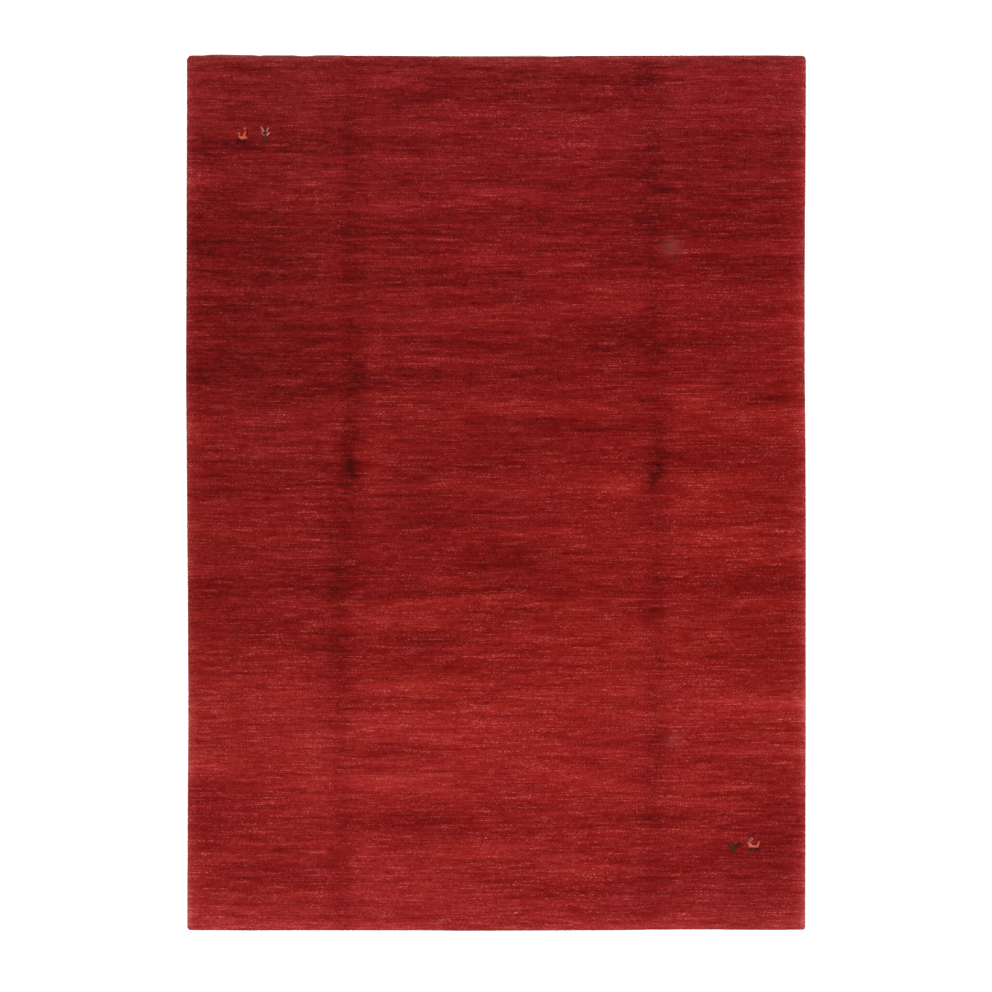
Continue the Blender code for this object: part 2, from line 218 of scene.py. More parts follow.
# Other runs, in knots: (layer of chance, length, depth).
WANDER_ACROSS = (21, 22.0, 3.0)
WANDER_ALONG = (22, 26.0, 2.0)
LINE_GAPS = (23, 14.0, 4.0)
TIP_RELIEF = (31, 9.0, 1.0)
HUE_LAYER = 11
# Places of another hue, whose greyness is partly painted sheen: (across, along, half width, half height,
# warmth, greyness).
HUE_AND_SHEEN_PATCHES = (
    (-0.70, 0.55, 0.50, 0.95, 0.2, 1.00),
    (0.05, -0.80, 0.40, 0.40, 0.0, -0.30),
    (0.65, -0.10, 0.40, 0.60, 0.5, -0.30),
    (0.46, 0.95, 0.18, 0.20, -0.7, 0.30),
    (0.70, -1.15, 0.25, 0.12, -0.5, 0.45),
)

# Pale fibres that stand up here and there, and dark knots: share of the knots and shade.
PALE_KNOTS = (0.050, 7.0)
DARK_KNOTS = (0.030, -7.0)
STRAY_STRENGTHS = (0.3, 2.6)

# Painted sheen of the splayed pile at the edges, as lighter yarn: (shade at the rim, reach inwards).
RIM_PAINTED_SHEEN = {
    "left": (26.0, 0.015),
    "right": (37.0, 0.019),
    "head": (14.0, 0.012),
    "foot": (20.0, 0.022),
}
# The painted sheen greys the splayed pile too: (greyness at the rim, reach inwards).
RIM_SHEEN_GREYNESS = {
    "left": (3.6, 0.0105),
    "right": (2.5, 0.0115),
    "head": (5.2, 0.018),
    "foot": (1.3, 0.0095),
}

# Faint rubbed spots: (across, along, radius, shade, paleness).
RUBBED_SPOTS = ((0.483, 0.674, 0.024, -6.0, 0.54), (0.491, -0.679, 0.019, 12.0, 0.36))

# One step of yarn colour is one part of this many shades, from the darkest.
SHADE_SPAN = 90.0
MIDDLE_SHADE = 0.391
# These stored numbers hold painted light and shade as well as the yarn's own colour.
YARN_AND_LIGHT_NUMBERS = ("yarn_and_painted_shade", "yarn_warmth", "yarn_and_sheen_grey")

# The motifs: knot size, how far the red knots under them sink, and their own section.
MOTIF_KNOT = 0.002744
MOTIF_SINK = 0.0012
MOTIF_DEPTH = 0.004
MOTIF_EDGE_DROP = 0.0002
MOTIF_TIP_RISE = 0.0008
# A figure's faces that point up more than this are its knots.
MOTIF_UPWARD = 0.8
# Yarn colours and charts. The yarn s is a dark red painted shadow, in the goat and the tree.
MOTIF_YARNS = {
    "o": (0.500, 0.080, 0.034),
    "k": (0.600, 0.135, 0.094),
    "y": (0.590, 0.128, 0.052),
    "r": (0.250, 0.034, 0.017),
    "w": (0.540, 0.175, 0.150),
    "u": (0.340, 0.062, 0.050),
    "d": (0.066, 0.015, 0.0085),
    "e": (0.075, 0.0066, 0.0054),
    "g": (0.054, 0.024, 0.010),
    "p": (0.052, 0.0021, 0.0066),
    "s": (0.090, 0.0030, 0.0026),
}
BARE_KNOT = (0.2, 0.01, 0.01)
GOAT = (
    "........rrr..",
    ".......roor..",
    "........rr.s.",
    "........rr.s.",
    ".........rrs.",
    "..rr....rors.",
    ".roor...oo.s.",
    "..ro...roo.s.",
    "...o...oor.s.",
    "...oorrooor..",
    "..rooyyyooor.",
    "....oooooorr.",
    ".pppprrrppr..",
    ".ppppppppp...",
    ".ppppppppp...",
    ".pp.p.p.pp...",
    ".pp.....p....",
)
TREE = (
    ".w..dd..u.",
    ".uw.ddd.w.",
    "..wudddw..",
    "..uwdddw..",
    ".u.wuduw..",
    ".uu.ds...u",
    "..u.ds.uww",
    "..uudduww.",
    "...uudgw..",
    "...gggg...",
    "...gggg...",
    "...dggg...",
    "....ggd...",
    "....gg....",
    ".....g....",
)
SHRUB = (
    "..........ee....",
    "d...d...eeeeee..",
    "dd..g..eeeeeee..",
    "gd.ggd.eeeee..e.",
    "dgdgggde.ee.....",
    ".dggggde........",
    "..gggggd........",
    "..ggggg.........",
    "...gggd.........",
    "....gd..........",
)
STAG = (
    "....u........",
    "..u.ww.......",
    "..w..u.......",
    "..uw.......r.",
    ".u.u.......kr",
    "kkru.......kr",
    ".kkk......rk.",
    "..kkke...rkk.",
    ".kkyykkkrkk..",
    "..kyyykkkkkr.",
    "..ddggddppp..",
    "..d.gdgddppp.",
    "..dd.gd.ppp..",
    "...d.........",
    "...d.........",
)
# (name, chart, across, along) of each figure's middle.
MOTIFS = (
    ("motif_goat", GOAT, -0.6957, 0.9800),
    ("motif_tree", TREE, -0.6340, 0.9831),
    ("motif_shrub", SHRUB, 0.6586, -0.9723),
    ("motif_stag", STAG, 0.7067, -0.9654),
)

# Fibres of wool: (waves in a metre along three axes, detail) of each noise.
FIBRE_WAVES = {
    "streak": ((28, 330, 200), 2.0),
    "grain": ((260, 400, 300), 2.0),
    "fuzz": ((1500, 1500, 1500), 1.0),
    "ends": ((240, 620, 620), 0.0),
    "flocks": ((11, 230, 60), 1.0),
}
FLOCK_SHARE = 0.80
NOISE_ROUGHNESS = 0.6
# Pale flecks of fibre ends, which also stand in as painted highlights on the tufts: how rare they are, how
# strong, how much more they show on light yarn, and colour.
FLECK_BOUND = 1.05
FLECK_GAIN = 1.75
FLECK_BY_SHADE = (2.0, 0.2)
FLECK_HIGHLIGHT_COLOUR = (0.80, 0.150, 0.132, 1.0)
# How much greyer the light fibres are than the dark ones.
GREY_FIBRES = 6.0
# Places of the reds on their ramp. The second is the darkest dye lot, below it lie the darkest spots in the
# creases and the deepest painted shade between tufts.
RED_STOPS = (0.0, 0.20, 0.20 + 0.80 / 3, 0.20 + 1.60 / 3, 1.0)
# What one unit does: depth to painted shade, greyness to green and blue, warmth to green and to blue.
DEPTH_PAINTED_SHADE = -0.20
GREY_TINT = 0.35
WARM_GREEN = 0.03
WARM_BLUE = -0.10
RUBBED_SHARE = 0.16
RUBBED_COLOUR = (0.36, 0.22, 0.20, 1.0)
# Values of all the woollen shaders, and of each red wool: (streak, grain, sheen, bump).
WOOL_VALUES = {
    "Roughness": 0.9,
    "Specular IOR Level": 0.06,
    "Sheen Roughness": 0.55,
    "Sheen Tint": (0.95, 0.45, 0.42, 1.0),
}
RED_WOOLS = {
    "cut_pile": (0.34, 0.36, 0.02, 0.5),
    "overcast_yarn": (0.10, 0.20, 0.08, 0.6),
    "knot_backs": (0.30, 0.30, 0.04, 0.8),
}
RED_WOOL_BUMP = 0.0006
# Nubs of the knot backs and of the flat weave: width, height and stagger of one.
NUB_INPUTS = ("Across", "Along", "Stagger")
BACK_NUBS = (0.0027, 0.0043, 0.0)
STRIP_NUBS = (0.0034, 0.0016, 0.5)
# Painted shade between the nubs: how much lighter a nub's top is, and the relief at which it is neither
# lighter nor darker.
NUB_PAINTED_SHADE = 0.30
NUB_MIDDLE = 0.6
NUB_HEIGHT = 2.5
NUB_ROUNDNESS = 0.6
NUB_DRIFT = ((9, 30, 30), 2.0)
NUB_WANDER = 0.3
# The flat weave's and the motifs' fibres, sheen, and bump (strength, distance).
WEAVE_FIBRES = {"Streak": 0.5, "Grain": 0.5}
WEAVE_SHEEN = 0.05
WEAVE_BUMP = (0.6, 0.0005)
# Painted shadow between the flat weave's nubs, mixed in as brown: per unit of relief, and with none.
WEAVE_SHADOW = (-0.34, 0.24)
MOTIF_SHEEN = 0.04
MOTIF_BUMP = (0.5, 0.0005)
MOTIF_DEPTH_LIGHT = (-0.30, 1.10)
MOTIF_FIBRE_LIGHT = 2.4
# Columns and rows in which a material's nodes are set out.
NODE_STEP = (220, -260)

# Tiers of locks at the rim: (inset of roots, height of roots, inset of tips, height of tips).
LOCK_TIERS = (
    (0.0036, 0.0122, 0.0000, 0.0100),
    (0.0024, 0.0106, -0.0014, 0.0082),
    (0.0024, 0.0090, -0.0010, 0.0062),
)
LOCK_RADIUS = 0.0011
LOCK_GIRTH = (0.8, 1.2)
LOCK_MARGIN = 0.002
LOCK_LEAN = 0.0009
LOCK_TONE = 0.05
# How far locks stray: (inset, height) of their roots and tips.
ROOT_STRAY = (0.0004, 0.0006)
TIP_STRAY = (0.0006, 0.0008)
# A lock's belly: how far along it lies, how far out in radii, and its girth.
LOCK_BELLY = (0.74, 0.4, 0.80)
LOCK_TURN = 0.5
# A lock's faces, and how deep in the pile each of its corners lies, for painted shade.
LOCK_FACES = ((2, 1, 0), (0, 1, 4, 3), (1, 2, 5, 4), (2, 0, 3, 5), (3, 4, 6), (4, 5, 6), (5, 3, 6))
LOCK_DEPTHS = (0.8, 0.8, 0.8, 0.1, 0.1, 0.1, 0.0)

# The overcast cords.
CORD_SIDES = 10
CORD_GAP = 0.0003
CORD_END_GAP = 0.009
WRAP_DEPTH = 0.14
WRAP_SLANT = 0.6
# Uneven girth of the turns, in shares of the radius, and (mean, spread) of their shades.
WRAP_GIRTH = (-0.05, 0.02)
WRAP_TONE = (0.10, 0.05)
TONE_RUN = 8

# Section of a turned-under end, round its folded edge: (inset, height) in shares.
STRIP_DEPTH = 0.0205
STRIP_SECTION = (
    (1.00, 0.06), (1.00, 0.94), (0.62, 0.98), (0.25, 0.98), (0.09, 0.93), (0.03, 0.78), (0.0, 0.60),
    (0.0, 0.42), (0.03, 0.22), (0.09, 0.06), (0.25, 0.0), (0.62, 0.0),
)
# Brown yarn in the strip's rows: share for each side of the section.
STRIP_BROWN = (0.3, 0.2, 0.1, 0.95, 0.30, 0.1, 0.15, 0.85, 0.2, 0.1, 0.0, 0.1)
# It comes and goes along the strip: gain, wave of the mean, and spread.
BROWN_GAIN = 1.3
BROWN_WAVE = 0.013
BROWN_SPREAD = 0.25
RIB_HEIGHT = 0.0003
RIB_STRAY = 0.0003
# Where the flat weave peeps out past the pile: (from, to, reach) for each end.
PEEPS = {
    1: ((-0.810, -0.640, 0.0026), (-0.660, -0.530, 0.0024), (-0.520, -0.400, 0.0025),
        (-0.170, 0.150, 0.0027), (0.600, 0.800, 0.0014)),
    -1: ((-0.225, -0.165, 0.0010), (0.423, 0.505, 0.0013), (0.604, 0.820, 0.0015)),
}
PEEP_FADE = 0.03

# The ground weave; its depth in the pile paints an even shade over it.
GROUND_COLUMNS = 90
GROUND_ROWS = 132
GROUND_PAINTED_SHADE_DEPTH = 0.4

# The studio.
FLOOR_SIZE = 60.0
FLOOR_DROP = 0.0004
WHITE = (1.0, 1.0, 1.0, 1.0)
FLOOR_VALUES = {
    "Base Color": (0.93, 0.93, 0.93, 1.0),
    "Roughness": 0.9,
    "Specular IOR Level": 0.1,
    "Emission Color": WHITE,
    "Emission Strength": 0.40,
}
SOFT_BOX_SIZE = 5.0
SOFT_BOX_PLACE = (-0.3, 1.6, 5.8)
SENSOR_WIDTH = 36.0
CLIP_END = 100.0


def length(name, description, default):
    """A setting that is a length."""
    return FloatProperty(name=name, description=description, default=default, unit="LENGTH")


def wool(name, description, default):
    """A setting that is a yarn's colour."""
    return FloatVectorProperty(
        name=name, description=description, default=default, subtype="COLOR", size=3)


class RugSizes(PropertyGroup):
    """Sizes of the knots, cords and weave."""

    pitch_across: length("Knot width", "Width of one knot", 0.0054)
    pitch_along: length("Row height", "Height of one row of knots", 0.0043)
    tip_rise: length("Tip rise", "How far a tuft's tip stands over its edges", 0.0011)
    unevenness: length("Unevenness", "How far knots stray from their place", 0.0011)
    bands: IntProperty(name="Bands", description="Pieces that the field is made in", default=5, min=1)
    lock_spacing: length("Lock spacing", "Distance between rim locks in a tier", 0.0030)
    wrap_pitch: length("Wrap pitch", "Width of one turn of the overcast yarn", 0.0027)
    rib_pitch: length("Rib pitch", "Width of one warp rib of the flat weave", 0.0034)


class RugColours(PropertyGroup):
    """Yarn colours, from the darkest red to the palest."""

    # The deepest red is reached in the darkest spots in the creases and in the deepest painted shade.
    deepest: wool("Deepest", "Soiled dark spots in a crease", (0.040, 0.0014, 0.0016))
    darkest: wool("Darkest", "Deepest red", (0.114, 0.0017, 0.0016))
    dark: wool("Dark", "Dark red", (0.205, 0.0066, 0.0060))
    light: wool("Light", "Light red", (0.328, 0.0192, 0.0173))
    palest: wool("Palest", "Palest red", (0.490, 0.0620, 0.0560))
    gain: FloatProperty(
        name="Gain", description="Brightness of all the reds", default=1.0, min=0.1, max=3.0)
    undyed: wool("Undyed", "Undyed wool of the ends", (0.56, 0.46, 0.33))
    brown: wool("Brown", "Brown wool of the ends", (0.090, 0.056, 0.036))


class StudioSettings(PropertyGroup):
    """Floor, lights and camera."""

    camera_height: length("Camera height", "Height over the floor", 8.0)
    frame_width: length("Frame width", "Width that the picture takes in", 2.7225)
    frame_shift: length("Frame shift", "How far the rug lies above the middle", 0.0090)
    sky: FloatProperty(name="Sky", description="Strength of the even light", default=0.82)
    soft_box: FloatProperty(
        name="Soft box", description="Power of the large soft light", default=218.0, unit="POWER")


def deselect_all():
    """Leave no object selected."""
    for item in bpy.context.selected_objects:
        item.select_set(False)


def ease(amount):
    """Soft step from 0 to 1."""
    amount = np.clip(amount, 0.0, 1.0)
    return amount * amount * (3.0 - 2.0 * amount)


def mean_of_four(values):
    """Mean of each four values that meet in a grid."""
    return (values[1:, 1:] + values[:-1, :-1] + values[1:, :-1] + values[:-1, 1:]) / 4


def read_triples(items, name):
    """Three numbers of each point or face of a mesh, as an array."""
    numbers = np.empty(len(items) * 3, dtype=np.float32)
    items.foreach_get(name, numbers)
    return numbers.reshape(-1, 3).astype(float)


def mesh_points(mesh):
    """A mesh's points as an array."""
    return read_triples(mesh.vertices, "co")


def face_centres(mesh):
    """The middles of a mesh's faces as an array."""
    return read_triples(mesh.polygons, "center")


def set_mesh_points(mesh, points):
    """Move a mesh's points to the places in an array."""
    mesh.vertices.foreach_set("co", points.astype(np.float32).ravel())
    mesh.update()


def set_attribute(mesh, name, domain, values):
    """Store one number for each point or face under a name."""
    attribute = mesh.attributes.get(name) or mesh.attributes.new(name, "FLOAT", domain)
    attribute.data.foreach_set("value", np.asarray(values, dtype=np.float32))


@contextmanager
def opened(item):
    """A piece's mesh, open for edits that are then written back."""
    mesh = bmesh.new()
    mesh.from_mesh(item.data)
    yield mesh
    mesh.to_mesh(item.data)
    mesh.free()


class Outline:
    """The rug's uneven outline, read from the lip of the field's solid."""

    def __init__(self):
        points = mesh_points(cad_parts[FIELD_NODE].data)
        lip = points[np.abs(points[:, 2] - LIP_HEIGHT) < LIP_TOLERANCE]
        self.low = []
        self.high = []
        for out, half in ((0, HALF_LENGTH), (1, HALF_WIDTH)):
            along = 1 - out
            edges = lip[np.abs(lip[:, along]) < half - EDGE_BAND]
            self.low.append(self.edge(edges[edges[:, out] < 0], along, out))
            self.high.append(self.edge(edges[edges[:, out] > 0], along, out))

    @staticmethod
    def edge(points, along, out):
        """One edge as places along it and distances from the rug's middle line."""
        order = np.argsort(points[:, along])
        return points[order, along], np.abs(points[order, out])

    def reach(self, out, x, y):
        """Distance of the nearer edge from the middle line, across for out 0 and along for out 1."""
        along = (y, x)[out]
        low = np.interp(along, *self.low[out])
        high = np.interp(along, *self.high[out])
        return np.where((x, y)[out] < 0, low, high)

    def place(self, x, y):
        """Where points of the plain rectangle lie on the rug."""
        x, y = round_corners(x, y)
        return x * self.reach(0, x, y) / HALF_WIDTH, y * self.reach(1, x, y) / HALF_LENGTH

    def pull_in(self, x, y, side_inset, end_inset):
        """Keep a point at least the insets inside the edges."""
        limit_x = float(self.reach(0, x, y)) - side_inset
        limit_y = float(self.reach(1, x, y)) - end_inset
        return max(-limit_x, min(limit_x, x)), max(-limit_y, min(limit_y, y))


def round_corners(x, y):
    """Pull points near the rug's corners onto the corners' arcs."""
    x = np.array(x, dtype=float)
    y = np.array(y, dtype=float)
    for (end, side), radius in CORNER_RADIUS.items():
        over_x = side * x - (HALF_WIDTH - radius)
        over_y = end * y - (HALF_LENGTH - radius)
        near = (over_x > 0) & (over_y > 0)
        arc_x = over_x * np.sqrt(np.clip(1 - over_y ** 2 / (2 * radius ** 2), 0, 1))
        arc_y = over_y * np.sqrt(np.clip(1 - over_x ** 2 / (2 * radius ** 2), 0, 1))
        x = np.where(near, side * (HALF_WIDTH - radius + arc_x), x)
        y = np.where(near, end * (HALF_LENGTH - radius + arc_y), y)
    return x, y


class PileSurface:
    """Height of the pile, taken from the solid's upper side and smoothed."""

    step = 0.012
    margin = 0.020
    ray_start = 0.1
    last_share = 0.999

    def __init__(self):
        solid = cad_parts[FIELD_NODE].data
        faces = [tuple(face.vertices) for face in solid.polygons]
        tree = BVHTree.FromPolygons([vertex.co for vertex in solid.vertices], faces)
        self.x = np.arange(-(HALF_WIDTH - self.margin), HALF_WIDTH - self.margin, self.step)
        self.y = np.arange(-(HALF_LENGTH - self.margin), HALF_LENGTH - self.margin, self.step)
        heights = [[self.drop(tree, x, y) for x in self.x] for y in self.y]
        self.heights = self.smoothed(self.smoothed(np.array(heights)))

    def drop(self, tree, x, y):
        """Height where a plumb line meets the solid."""
        return tree.ray_cast((x, y, self.ray_start), (0, 0, -1))[0].z

    @staticmethod
    def smoothed(heights):
        """Average each height with its neighbours."""
        padded = np.pad(heights, 1, mode="edge")
        rows = (padded[:-2] + 2 * padded[1:-1] + padded[2:]) / 4
        return (rows[:, :-2] + 2 * rows[:, 1:-1] + rows[:, 2:]) / 4

    def cell(self, places, axis, count):
        """The cell of the height grid that each place lies in, and how far along it."""
        along = np.clip((places - axis[0]) / self.step, 0, count - 2 + self.last_share)
        return along.astype(int), along - along.astype(int)

    def height(self, x, y):
        """Height of the pile's tips at points, as if it had no edge."""
        rows, columns = self.heights.shape
        column, across = self.cell(x, self.x, columns)
        row, along = self.cell(y, self.y, rows)
        low = self.heights[row, column] * (1 - across) + self.heights[row, column + 1] * across
        high = self.heights[row + 1, column] * (1 - across) + self.heights[row + 1, column + 1] * across
        return low * (1 - along) + high * along


def edge_section():
    """Travel, inset and lift along the pile's edge, from under the lip to the top."""
    angles = np.radians(np.linspace(0, 90, SHOULDER_STEPS + 1))
    inset = np.concatenate(([LIP_INSET], SHOULDER * (1 - np.cos(angles))))
    lift = np.concatenate(([-LIP_DROP], SHOULDER * np.sin(angles)))
    steps = np.hypot(np.diff(inset), np.diff(lift))
    travel = np.concatenate(([0.0], np.cumsum(steps)))
    return travel, inset, lift / SHOULDER


def knot_lines(half_size, pitch):
    """Places and lifts of the lines between knots, from one edge over to the other."""
    travel, inset, lift = edge_section()
    full = 2 * (half_size - SHOULDER) + 2 * travel[-1]
    along = np.linspace(0, full, round(full / pitch) + 1)
    from_edge = np.minimum(along, full - along)
    past_edge = np.maximum(0.0, from_edge - travel[-1])
    line_inset = np.interp(from_edge, travel, inset) + past_edge
    place = np.where(along < full / 2, line_inset - half_size, half_size - line_inset)
    return place, np.interp(from_edge, travel, lift)


def yarn_runs(shape, layer, run, depth):
    """Streaks of unit strength, run knots long and depth rows deep, with a layer's own chance."""
    rows, columns = shape
    rng = np.random.default_rng((RUG_SEED, layer))
    depth = max(depth, 1.0)
    lanes = int(rows / depth) + 3
    cells = int(columns / run) + 4
    lattice = rng.standard_normal((lanes, cells))
    along = np.arange(columns)[None, :] / run + rng.random(lanes)[:, None]
    cell = along.astype(int)
    start = np.take_along_axis(lattice, cell, axis=1)
    stop = np.take_along_axis(lattice, cell + 1, axis=1)
    lane_values = start + (stop - start) * ease(along - cell)
    across = np.arange(rows) / depth
    lane = across.astype(int)
    blend = ease(across - lane)[:, None]
    values = lane_values[lane] * (1 - blend) + lane_values[lane + 1] * blend
    return values / values.std()


def soft_patch(x, y, patch):
    """Share of a soft oval patch at points."""
    across, along, half_width, half_height = patch[:4]
    return np.exp(-(((x - across) / half_width) ** 2 + ((y - along) / half_height) ** 2))


def crease_share(x, y, crease):
    """How deep in a crease the points lie, times its strength there."""
    along, across, strength = np.array(crease).T
    distance = (x - np.interp(y, along, across)) / CREASE_HALF_WIDTH
    return np.exp(-distance ** 2 * CREASE_SHARPNESS) * np.interp(y, along, strength)


def edge_fade(x, y, amounts):
    """An amount that is full at the rug's edges and fades inwards."""
    inset = {
        "left": HALF_WIDTH + x,
        "right": HALF_WIDTH - x,
        "head": HALF_LENGTH - y,
        "foot": HALF_LENGTH + y,
    }
    faded = [
        strength * np.exp(-np.maximum(0.0, inset[edge]) / reach)
        for edge, (strength, reach) in amounts.items()
    ]
    return np.maximum.reduce(faded)


def lot_step(x, y):
    """The line where one dye lot ends on a row and the next starts."""
    start, stop, shade = LOT_STEP
    inside = ease((x - start) / LOT_STEP_FADE) * ease((stop - x) / LOT_STEP_FADE)
    across, along, line_shade = np.array(LOT_LINE).T
    over = y - np.interp(x, across, along)
    below = np.where(over < 0, np.exp(over / LOT_STEP_FADE), 0.0)
    above = np.where(over >= 0, np.exp(-over / LOT_STEP_FADE), 0.0)
    mean, spread, most = LOT_LINE_SHARES
    gaps = np.clip(mean + spread * yarn_runs(x.shape, *LINE_GAPS), 0.0, most)
    line = np.interp(x, across, line_shade) * gaps * np.exp(-(over / LOT_LINE_HEIGHT) ** 2)
    return inside * (shade * (below - 0.5 * above) + line)


def stray_knots(rng, shape):
    """Single knots that are much paler or darker."""
    chance = rng.random(shape)
    amount = rng.exponential(1.0, shape).clip(*STRAY_STRENGTHS)
    pale = np.where(chance < PALE_KNOTS[0], PALE_KNOTS[1] * amount, 0.0)
    dark = np.where(chance > 1 - DARK_KNOTS[0], DARK_KNOTS[1] * amount, 0.0)
    return pale + dark


def under_motif(points, chart, across, along):
    """Which points lie under a knot of a motif's chart."""
    rows = len(chart)
    columns = len(chart[0])
    column = np.floor((points[:, :, 0] - across) / MOTIF_KNOT + columns / 2).astype(int)
    row = np.floor(rows / 2 - (points[:, :, 1] - along) / MOTIF_KNOT).astype(int)
    inside = (column >= 0) & (column < columns) & (row >= 0) & (row < rows)
    tied = np.array([[yarn != "." for yarn in line] for line in chart])
    under = np.zeros(inside.shape)
    under[inside] = tied[row[inside], column[inside]]
    return under


class RugPlan:
    """Places and yarns of all the knots."""

    def __init__(self, sizes):
        rng = np.random.default_rng(RUG_SEED)
        self.outline = Outline()
        self.surface = PileSurface()
        x, lift_x = knot_lines(HALF_WIDTH + RIM_REACH, sizes.pitch_across)
        y, lift_y = knot_lines(HALF_LENGTH + RIM_REACH, sizes.pitch_along)
        lift = np.minimum(lift_x[None, :], lift_y[:, None])
        self.corners = self.lay(*np.meshgrid(x, y), lift, sizes)
        self.middle_x = (x[1:] + x[:-1]) / 2
        self.middle_y = (y[1:] + y[:-1]) / 2
        self.shape = (len(self.middle_y), len(self.middle_x))
        self.yarns = self.dye(rng, *np.meshgrid(self.middle_x, self.middle_y), sizes)
        self.scatter(rng, sizes)
        self.tips = self.raise_tips(rng, sizes)
        self.sink_under_motifs()

    def lay(self, flat_x, flat_y, lift, sizes):
        """Lay the knots' corners on the solid and round its edges."""
        x, y = self.outline.place(flat_x, flat_y)
        top = self.surface.height(x, y) - sizes.tip_rise
        over = np.maximum(lift, 0.0) * (top - LIP_HEIGHT)
        under = np.minimum(lift, 0.0) * SHOULDER
        return np.dstack((x, y, LIP_HEIGHT + over + under))

    def scatter(self, rng, sizes):
        """Let the knots' corners stray a little, but not at the rim."""
        stray = rng.uniform(-1, 1, self.corners.shape) * sizes.unevenness * STRAY_SHARES
        self.corners[1:-1, 1:-1] += stray[1:-1, 1:-1]

    def raise_tips(self, rng, sizes):
        """Places of the tufts' tips, out along the surface's normal."""
        corners = self.corners
        slant = corners[1:, 1:] - corners[:-1, :-1]
        other = corners[1:, :-1] - corners[:-1, 1:]
        normal = np.cross(slant, other)
        normal /= np.linalg.norm(normal, axis=2, keepdims=True)
        relief = yarn_runs(self.shape, *TIP_RELIEF)
        chance = rng.uniform(-1, 1, self.shape)
        rise = sizes.tip_rise * (1.0 + TIP_RUN_SHARE * relief + TIP_CHANCE_SHARE * chance)
        lean = rng.uniform(-1, 1, normal.shape) * sizes.unevenness * TIP_LEAN_SHARES
        return mean_of_four(corners) + lean + normal * rise[:, :, None]

    def sink_under_motifs(self):
        """Lower the red knots that a motif's knots cover."""
        for _, chart, across, along in MOTIFS:
            for points in (self.corners, self.tips):
                points[:, :, 2] -= MOTIF_SINK * under_motif(points, chart, across, along)

    def streaks(self, runs, first_layer, sizes):
        """The sum of yarn runs of several lengths."""
        total = np.zeros(self.shape)
        for layer, (run, depth, strength) in enumerate(runs, start=first_layer):
            knots = (run / sizes.pitch_across, depth / sizes.pitch_along)
            total += strength * yarn_runs(self.shape, layer, *knots)
        return total

    def dye(self, rng, x, y, sizes):
        """Shade, warmth, greyness and paleness of each knot, yarn and painted light and shade together."""
        wander_x = PATCH_WANDER[0] * yarn_runs(self.shape, *WANDER_ACROSS)
        wander_y = PATCH_WANDER[1] * yarn_runs(self.shape, *WANDER_ALONG)
        shade = self.streaks(YARN_RUNS, 0, sizes)
        places, lots = np.array(ABRASH).T
        shade += np.interp(y + ABRASH_WANDER * wander_y, places, lots)
        # Painted light and shade of the nap, and stray lots.
        for patch in PATCHES:
            wander = min(1.0, (min(patch[2:4]) / STEADY_PATCH) ** 2)
            shade += patch[4] * soft_patch(x + wander_x * wander, y + wander_y * wander, patch)
        # Painted shade in the creases.
        for crease in (LEFT_CREASE, RIGHT_CREASE):
            shade += CREASE_PAINTED_SHADE * crease_share(x + CREASE_WANDER * wander_x, y, crease)
        shade += lot_step(x, y)
        # Painted sheen along the edges.
        shade += edge_fade(x, y, RIM_PAINTED_SHEEN)
        shade += stray_knots(rng, self.shape)
        pale = np.zeros(self.shape)
        for across, along, radius, rise, paleness in RUBBED_SPOTS:
            spot = soft_patch(x, y, (across, along, radius, radius))
            shade += rise * spot
            pale += paleness * spot
        # Hue and greyness along the length; the greyness is partly painted sheen.
        places, drift, grey_drift = np.array(HUE_AND_SHEEN_DRIFT).T
        warmth = self.streaks(DYE_RUNS, HUE_LAYER, sizes) + np.interp(y, places, drift)
        grey = np.interp(y, places, grey_drift)
        for patch in HUE_AND_SHEEN_PATCHES:
            share = soft_patch(x, y, patch)
            warmth += patch[4] * share
            grey += patch[5] * share
        # Painted sheen greys the rim.
        grey += edge_fade(x, y, RIM_SHEEN_GREYNESS)
        numbers = (MIDDLE_SHADE + shade / SHADE_SPAN, warmth, grey, pale)
        return dict(zip((*YARN_AND_LIGHT_NUMBERS, "yarn_pale"), numbers))

    def yarn_at(self, x, y):
        """Shade, warmth and greyness of the knots nearest to points, painted light and shade included."""
        row = np.clip(np.searchsorted(self.middle_y, y), 0, self.shape[0] - 1)
        column = np.clip(np.searchsorted(self.middle_x, x), 0, self.shape[1] - 1)
        return {name: self.yarns[name][row, column] for name in YARN_AND_LIGHT_NUMBERS}


PLANS = {}


def rug_plan(context):
    """The plan of the rug for the present sizes, worked out once."""
    sizes = context.scene.rug_sizes
    key = (sizes.pitch_across, sizes.pitch_along, sizes.tip_rise, sizes.unevenness)
    if key not in PLANS:
        PLANS[key] = RugPlan(sizes)
    return PLANS[key]


def add_node(tree, kind, inputs=None, **settings):
    """Add a node, set its options, and give its inputs their values or links."""
    node = tree.nodes.new(kind)
    for name, value in settings.items():
        setattr(node, name, value)
    for name, value in (inputs or {}).items():
        if isinstance(value, bpy.types.NodeSocket):
            tree.links.new(value, node.inputs[name])
        else:
            node.inputs[name].default_value = value
    return node


def lay_out(tree):
    """Set a tree's nodes in columns, each one to the right of all that feeds it."""
    columns = {node.name: 0 for node in tree.nodes}
    for _ in tree.nodes:
        for link in tree.links:
            fed = columns[link.from_node.name] + 1
            columns[link.to_node.name] = max(columns[link.to_node.name], fed)
    filled = {}
    for node in tree.nodes:
        column = columns[node.name]
        row = filled.get(column, 0)
        filled[column] = row + 1
        node.location = (NODE_STEP[0] * column, NODE_STEP[1] * row)


